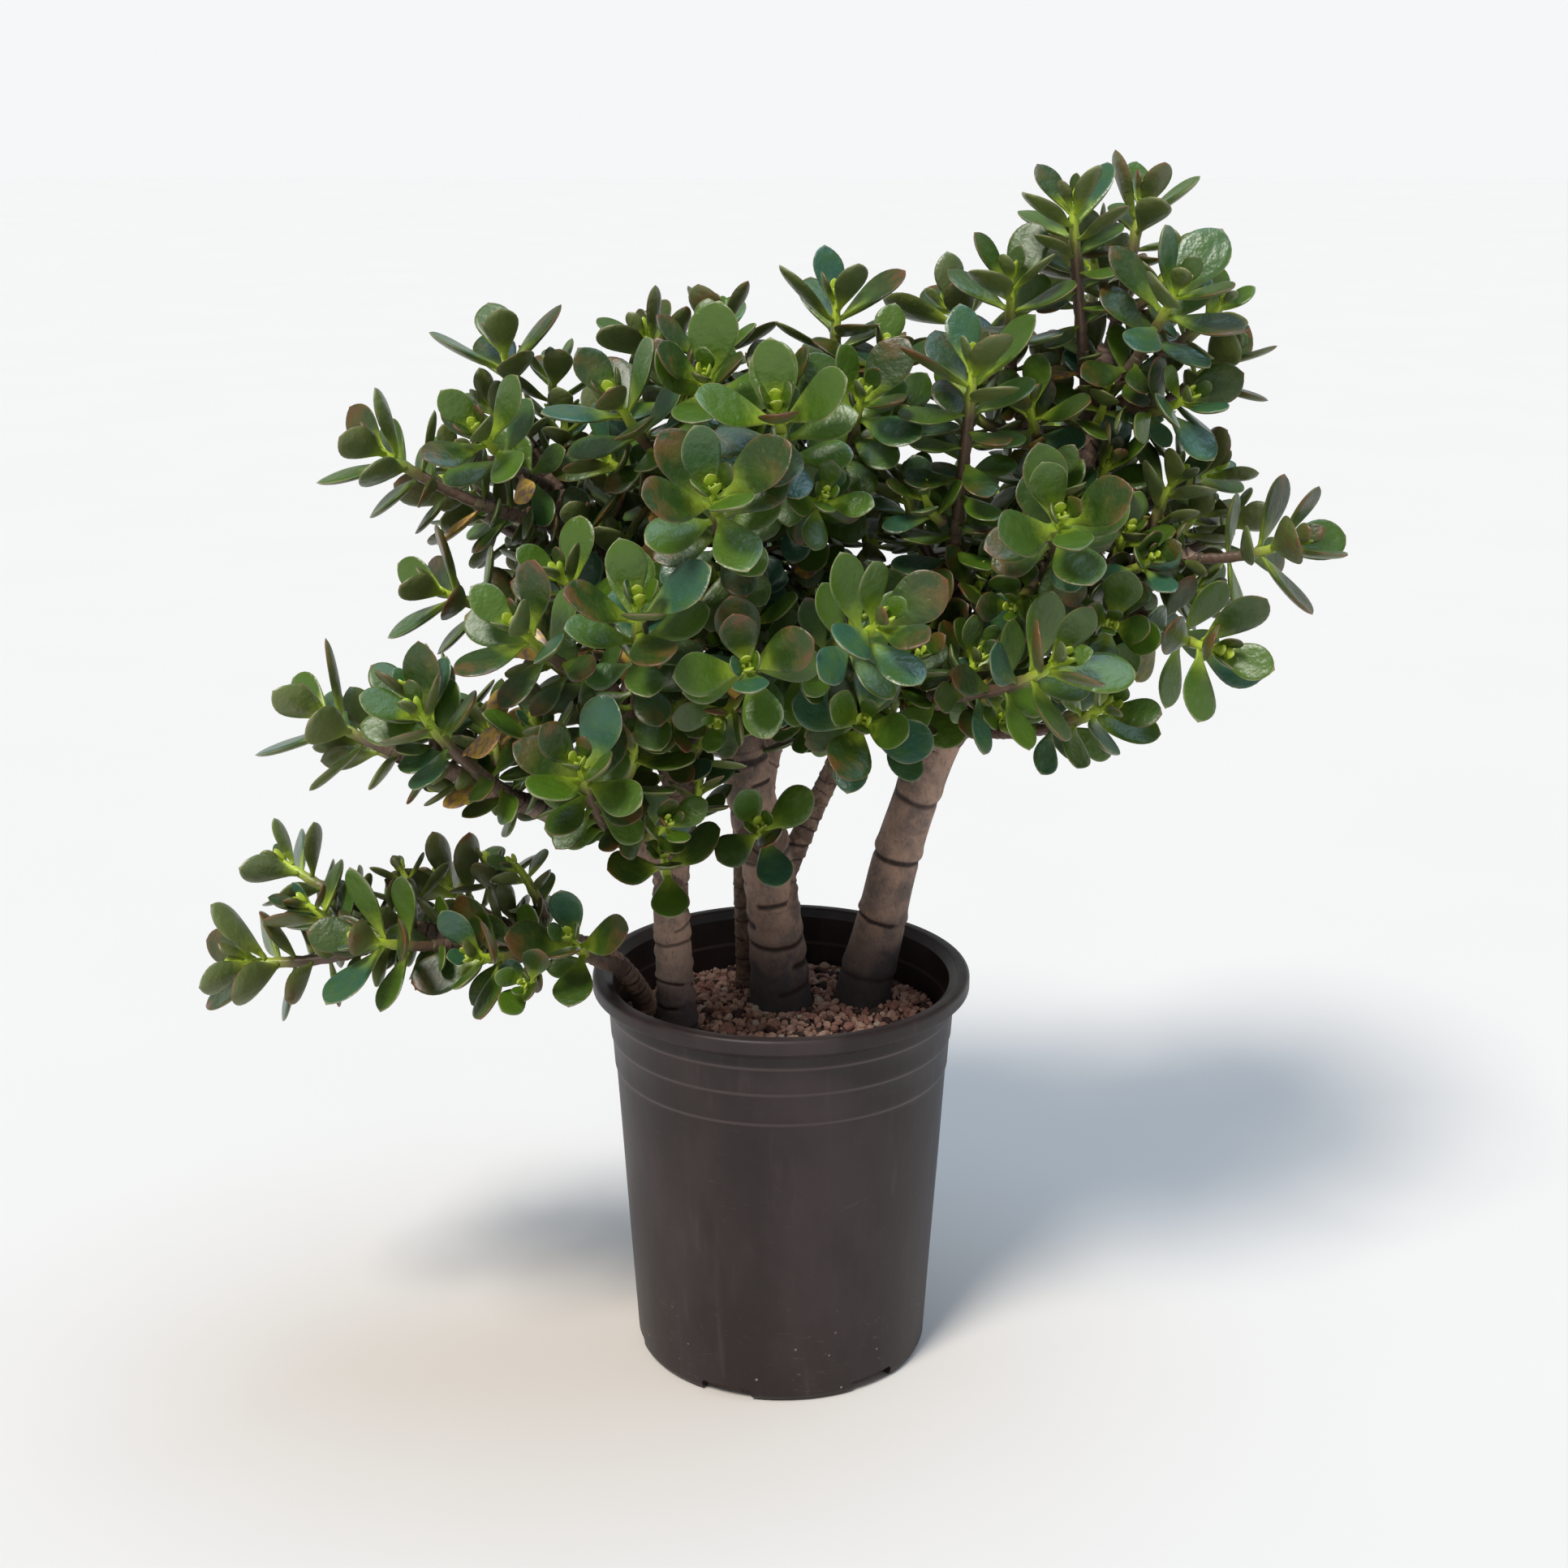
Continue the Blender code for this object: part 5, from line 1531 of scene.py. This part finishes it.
# The lowest height of the crown's leaves, at places from left to right.
SKIRT = ((-0.30, -0.26, -0.22, -0.15, -0.07, -0.02, 0.03, 0.09, 0.18, 0.22, 0.34),
         (0.465, 0.465, 0.445, 0.425, 0.425, 0.435, 0.470, 0.505, 0.500, 0.475, 0.490))
LOW_BAND = (0.308, 0.385)
LOW_END = -0.160

fill_draw = np.random.default_rng(41)


def old_leaf(path, distance, radius, turn, sway, size, swing):
    """A leaf that stands on bare wood at a distance along a path, at an angle round it."""
    pitch_change, sideways, scale = sway
    heading = path.heading(distance)
    side = heading.orthogonal().normalized()
    outwards = Matrix.Rotation(turn + radians(sideways), 3, heading) @ side
    foot = path.at(distance) + outwards * radius * OLD_FOOT
    pitch = radians(OLD_PITCH + pitch_change + swing)
    return leaning_leaf(foot, heading, outwards, pitch, LEAF_LENGTH * size * scale)


def in_crown(leaf, low):
    """Whether a leaf's tip lies above the skirt of the crown, or within the low branch's band."""
    tip = leaf[0] + leaf[1] * leaf[4]
    if low:
        return LOW_BAND[0] < tip.z < LOW_BAND[1] and tip.x < LOW_END
    return tip.z > np.interp(tip.x, *SKIRT)


def grow_on_wood(path, radius, first, last, size, low):
    """Opposite pairs along a stretch of bare wood, wherever there is room."""
    grown = []
    turn = fill_draw.uniform(0, pi)
    for distance in np.arange(last, first, -OLD_SPACING).tolist():
        turn += pi / 2 + fill_draw.uniform(-0.2, 0.2)
        for opposite in (0, pi):
            swing = fill_draw.uniform(-OLD_SWING, OLD_SWING)
            leaf_size = size * fill_draw.uniform(0.85, 1.12)
            for sway in TRIED_SWAYS:
                leaf = old_leaf(path, distance, radius, turn + opposite, sway, leaf_size, swing)
                hull = leaf_hull(leaf)
                if in_crown(leaf, low) and not standing.blocks(hull):
                    standing.add(hull)
                    grown.append(leaf)
                    break
    return grown


for shoot in shoots.values():
    first = limbs[shoot["parent"]]["start_radius"] + 0.006
    shoot["old_leaves"] = grow_on_wood(shoot["path"], TWIG_RADIUS, first, shoot["foot"] - 0.005,
                                       OLD_SIZE * shoot["size"], shoot["parent"] == "low_left")
print(f"{sum(len(shoot['old_leaves']) for shoot in shoots.values())} old leaves on the twigs")

# %% [markdown]
# Side shoots are tried next. A place on a branch or twig, a direction and a length are drawn at
# random, and a whole little shoot is planned there. It is kept if its stalk is clear and enough of
# its leaves find room, and if its tip lies inside the crown, so the plant's outline stays as it
# was.

# %% Side shoots
SIDE_SHOOTS = 150
SIDE_TRIES = 3000
CROWN_REACH = 0.042
LEAST_SIDE_PAIRS = 3
LEAST_LEAVES_A_PAIR = 1.25
SIDE_ROOM = 0.002
TWIG_FREE, LEAST_TWIG = 0.004, 0.012
SIDE_PIECES = 15
LEAFY_SHARE = {
    "centre": (0.86, 1.0),
    "left": (0.80, 1.0),
    "right": (0.86, 1.0),
    "low_left": (0.56, 1.0),
}


def leafy_stretch(name, first_share):
    """The distances along a limb between which leaves grow."""
    first, last = LEAFY_SHARE.get(name, (first_share, 0.97))
    length = limbs[name]["path"].length
    return first * length, last * length


def side_places():
    """Wood that may bear side shoots: its limb, path, radius, first and last distance."""
    places = [(name, limb["path"], limb["end_radius"], *leafy_stretch(name, 0.22))
              for name, limb in limbs.items()]
    for shoot in shoots.values():
        first = limbs[shoot["parent"]]["start_radius"] + TWIG_FREE
        if shoot["foot"] - first > LEAST_TWIG:
            places.append((shoot["parent"], shoot["path"], TWIG_RADIUS, first, shoot["foot"]))
    return places


def plan_side_shoot(places, chances, number):
    """A little shoot at a random place, which leaves its wood outwards and bends upwards."""
    owner, path, radius, first, last = places[fill_draw.choice(len(places), p=chances)]
    distance = fill_draw.uniform(first, last)
    heading, start = path.heading(distance), path.at(distance)
    turn = fill_draw.uniform(0, 2 * pi)
    outwards = Matrix.Rotation(turn, 3, heading) @ heading.orthogonal().normalized()
    length = fill_draw.uniform(0.040, 0.078)
    size = fill_draw.uniform(0.62, 0.92)
    upwards = (heading * 0.55 + outwards * 0.75 + Vector((0, 0, SHOOT_LIFT))).normalized()
    bend = start + (heading * 0.2 + outwards).normalized() * length * 0.5
    way = bent_path(start, bend, start + upwards * length, SIDE_PIECES)
    pairs = LEAST_SIDE_PAIRS
    while shoot_length(pairs + 1) < way.length - radius - SIDE_ROOM:
        pairs += 1
    side = way.heading(way.length).orthogonal().normalized()
    return {"owner": owner, **framed(way, pairs, size, side, fill_draw.uniform(0, pi), number)}


def side_leaves(shoot):
    """The leaves of a side shoot that find room, and their hulls."""
    leaves, hulls = {}, []
    low = shoot["owner"] == "low_left"
    for pair in range(shoot["pairs"]):
        for side_sign in (1, -1):
            for sway in TRIED_SWAYS:
                leaf = shoot_leaf(shoot, pair, side_sign, sway)
                hull = leaf_hull(leaf)
                if (in_crown(leaf, low) and not any(hull[0].overlap(other[0]) for other in hulls)
                        and not standing.blocks(hull)):
                    hulls.append(hull)
                    leaves[(pair, side_sign)] = leaf
                    break
    return leaves, hulls


def grow_side_shoot(places, chances, number):
    shoot = plan_side_shoot(places, chances, number)
    tip = shoot["path"].at(shoot["path"].length)
    if np.min(np.linalg.norm(crown_centres - np.array(tip), axis=1)) > CROWN_REACH:
        return None
    stalk_in_air = stalk_hull(shoot["frames"][:-1])
    if standing.blocks(stalk_in_air):
        return None
    shoot["leaves"], hulls = side_leaves(shoot)
    if len(shoot["leaves"]) < LEAST_LEAVES_A_PAIR * shoot["pairs"]:
        return None
    standing.add(stalk_in_air, *hulls)
    return shoot


places = side_places()
stretches = np.array([last - first for _, _, _, first, last in places])
crown_centres = standing.centre_table.copy()
side_shoots = []
tries = 0
while len(side_shoots) < SIDE_SHOOTS and tries < SIDE_TRIES:
    shoot = grow_side_shoot(places, stretches / stretches.sum(), tries)
    if shoot is not None:
        side_shoots.append(shoot)
    tries += 1
side_leaf_count = sum(len(shoot["leaves"]) for shoot in side_shoots)
print(f"{len(side_shoots)} side shoots after {tries} tries, {side_leaf_count} leaves")

# %% Old leaves on the branches
branch_leaves = {}
for name, limb in limbs.items():
    branch_leaves[name] = grow_on_wood(limb["path"], limb["end_radius"], *leafy_stretch(name, 0.30),
                                       OLD_SIZE, name == "low_left")
print(f"{sum(len(leaves) for leaves in branch_leaves.values())} old leaves on the branches")

# %% [markdown]
# ## Shoots
# A shoot is green and slightly square, with a swollen joint under each pair and a bud of tiny
# leaves on top. Its stalk, bud and leaves are gathered into one piece, which stands for one solid.

# %% Stalk and bud
STALK_SIDES = 12
STALK_SLIM, JOINT_SWELL, SQUARENESS = 0.98, 1.16, 0.08
STALK_ROOT, STALK_ROOT_WIDTH = 0.004, 0.96
GREEN_JOINTS = 6
BUD_PAIRS = ((0.26, 17), (0.15, 9))
BUD_SWING, BUD_SPREAD, BUD_SUNK = 4, 0.7, 0.001


def stalk(shoot):
    """A squarish tapering stalk, thicker at each joint, that starts just inside its twig."""
    rings = []
    frames = shoot["frames"]
    for ring, (centre, heading, side, other) in enumerate(frames):
        rings.append((centre, side, other, shoot_radius(ring) * STALK_SLIM, ring))
        if ring + 1 < len(frames):
            middle = (centre + frames[ring + 1][0]) / 2
            radius = (shoot_radius(ring) + shoot_radius(ring + 1)) / 2 * JOINT_SWELL
            rings.append((middle, side, other, radius, ring + 0.5))
    root = centre - heading * STALK_ROOT
    rings.append((root, side, other, TWIG_RADIUS * STALK_ROOT_WIDTH, len(frames)))
    points, youth = [], []
    for middle, side, other, radius, age in rings:
        for corner in range(STALK_SIDES):
            turn = 2 * pi * corner / STALK_SIDES
            square = 1 + SQUARENESS * cos(4 * turn + pi)
            points.append(middle + (side * cos(turn) + other * sin(turn)) * radius * square)
            youth.append(max(0.0, 1 - age / GREEN_JOINTS))
    return [tuple(point) for point in points], ring_faces(len(rings), STALK_SIDES), youth


def bud_leaves(shoot):
    """Two tiny pairs on top of the shoot, each crossing the one below."""
    centre, heading, side, other = shoot["frames"][0]
    tiny = []
    for (share, pitch), out in zip(BUD_PAIRS, (other, side)):
        for sign in (1, -1):
            tilt = radians(pitch + BUD_SWING * sin(shoot["number"] + sign))
            outwards = out * sign
            foot = centre + outwards * SHOOT_TIP * BUD_SPREAD - heading * BUD_SUNK
            length = LEAF_LENGTH * share * shoot["size"]
            tiny.append(leaning_leaf(foot, heading, outwards, tilt, length))
    return tiny


print(f"a bud has {2 * len(BUD_PAIRS)} leaves")

# %% Gather each shoot
DYING_SHARE = 0.045
YOUNG_PAIRS, YOUTH_FALL, MOST_YOUTH = 5, 1.2, 0.8
BUD_LIVELY, BUD_TINT = 0.3, 0.6


def leaf_youth(pair):
    return max(0.0, 1 - pair / YOUNG_PAIRS) ** YOUTH_FALL * MOST_YOUTH


def add_leaf(heap, leaf, youth, may_die):
    points, faces, numbers = fine_leaf(leaf)
    dies = may_die and leaf_draw.uniform() < DYING_SHARE
    dying = leaf_draw.uniform(0.3, 1.0) if dies else 0.0
    heap.add(points, faces, youth=youth, tint=leaf_draw.uniform(), dying=dying, **numbers)


def dress(heap, shoot):
    """The stalk, bud and leaves of one shoot."""
    points, faces, youth = stalk(shoot)
    heap.add(points, faces, youth=youth, stalk=1.0)
    for leaf in bud_leaves(shoot):
        points, faces, numbers = fine_leaf(leaf, BUD_LIVELY)
        heap.add(points, faces, youth=1.0, tint=BUD_TINT, **numbers)
    for (pair, side_sign), leaf in shoot["leaves"].items():
        add_leaf(heap, leaf, leaf_youth(pair), pair >= shoot["pairs"] - 2)


def gathered(some_shoots, old_leaves):
    heap = Heap(*LEAF_TRAITS)
    for shoot in some_shoots:
        dress(heap, shoot)
    for leaf in old_leaves:
        add_leaf(heap, leaf, 0.0, True)
    return heap


shoot_heaps = {name: gathered([shoot], shoot["old_leaves"]) for name, shoot in shoots.items()}
side_heaps = {}
for name in limbs:
    borne = [shoot for shoot in side_shoots if shoot["owner"] == name]
    if borne or branch_leaves[name]:
        side_heaps[name] = gathered(borne, branch_leaves[name])
print(f"{len(shoot_heaps)} main shoots, and side shoots on {len(side_heaps)} limbs")

# %% Make the shoot pieces
LEAF_EDGE = radians(60)

for name, heap in shoot_heaps.items():
    mesh = heap.mesh(f"{name}_leaves", leaf_flesh, LEAF_EDGE)
    add_piece(f"{name}_leaves", mesh, "leaf", f"shoot_{name}")
for name, heap in side_heaps.items():
    mesh = heap.mesh(f"{name}_side_leaves", leaf_flesh, LEAF_EDGE)
    add_piece(f"{name}_side_leaves", mesh, "leaf")
print(f"{sum(heap.count for heap in shoot_heaps.values())} points in the main shoots")

# %% [markdown]
# ## A plain studio
# The plant stands on a plain pale floor, under soft lights. Wax-covered leaves show what they
# reflect, so the key light from the front left is soft-edged and slightly warm, and a very soft
# cool light from overhead gives some leaves their blue shine.

# %% Floor and lights
PAPER, PALER_PAPER = (0.640, 0.600, 0.567), (0.665, 0.625, 0.590)
FLOOR_SIZE = 14
FLOOR_DROP = 0.0005

floor_shaper = bmesh.new()
bmesh.ops.create_grid(floor_shaper, x_segments=8, y_segments=8, size=FLOOR_SIZE)
floor_mesh = bpy.data.meshes.new("studio_floor")
floor_shaper.to_mesh(floor_mesh)
floor_shaper.free()
paper = Recipe("studio_paper", PAPER)
paper.cover(paper.noise(0.35, 3.0), PALER_PAPER)
floor_mesh.materials.append(paper.finish(Roughness=0.95))
studio_floor = bpy.data.objects.new("studio_floor", floor_mesh)
studio_floor.location.z = -FLOOR_DROP
bpy.context.scene.collection.objects.link(studio_floor)


def far_light(name, spot, softness, power, colour):
    """A light so far away that it falls evenly on everything. Softness is its width in degrees."""
    lamp = bpy.data.lights.new(name, "SUN")
    lamp.angle = radians(softness)
    lamp.energy = power
    lamp.color = colour
    lamp_object = bpy.data.objects.new(name, lamp)
    lamp_object.location = spot
    lamp_object.rotation_euler = Vector(spot).to_track_quat("Z", "Y").to_euler()
    bpy.context.scene.collection.objects.link(lamp_object)


far_light("key", (-0.9, -1.5, 2.4), 16, 3.2, (1.0, 0.965, 0.90))
far_light("sky", (0.6, 0.1, 2.2), 40, 1.7, (0.50, 0.73, 1.0))
print("the studio is lit")

# %% [markdown]
# The room round the plant is a world with no picture: white along the horizon, so that the floor
# runs into it, and dimmer overhead, so that the lights above still shape the leaves.

# %% The room
ROOM_WHITE = (0.98, 0.99, 1.0, 1.0)
ROOM_FADE = {"From Min": 0.08, "From Max": 0.40, "To Min": 0.94, "To Max": 0.30}

world = bpy.data.worlds.new("studio")
world.use_nodes = True
room = world.node_tree
direction = room.nodes.new("ShaderNodeTexCoord").outputs["Generated"]
split = room.nodes.new("ShaderNodeSeparateXYZ")
room.links.new(direction, split.inputs["Vector"])
climb = room.nodes.new("ShaderNodeMapRange")
room.links.new(split.outputs["Z"], climb.inputs["Value"])
for socket, limit in ROOM_FADE.items():
    climb.inputs[socket].default_value = limit
room.links.new(climb.outputs["Result"], room.nodes["Background"].inputs["Strength"])
room.nodes["Background"].inputs["Color"].default_value = ROOM_WHITE
bpy.context.scene.world = world
bpy.context.scene.view_settings.view_transform = "Standard"
print("the room is white along the horizon")

# %% [markdown]
# The camera stands a little above the crown's middle, in front of the plant, and looks slightly
# down into the pot.

# %% The camera
eye = bpy.data.cameras.new("camera")
eye.lens = 56.8
eye.sensor_width = 36
camera = bpy.data.objects.new("camera", eye)
camera.location = (0.002, -1.658, 0.941)
camera.rotation_euler = (radians(72.8), 0, 0)
bpy.context.scene.collection.objects.link(camera)
bpy.context.scene.camera = camera
print(f"the camera stands {camera.location.length:.2f} m from the pot's foot")
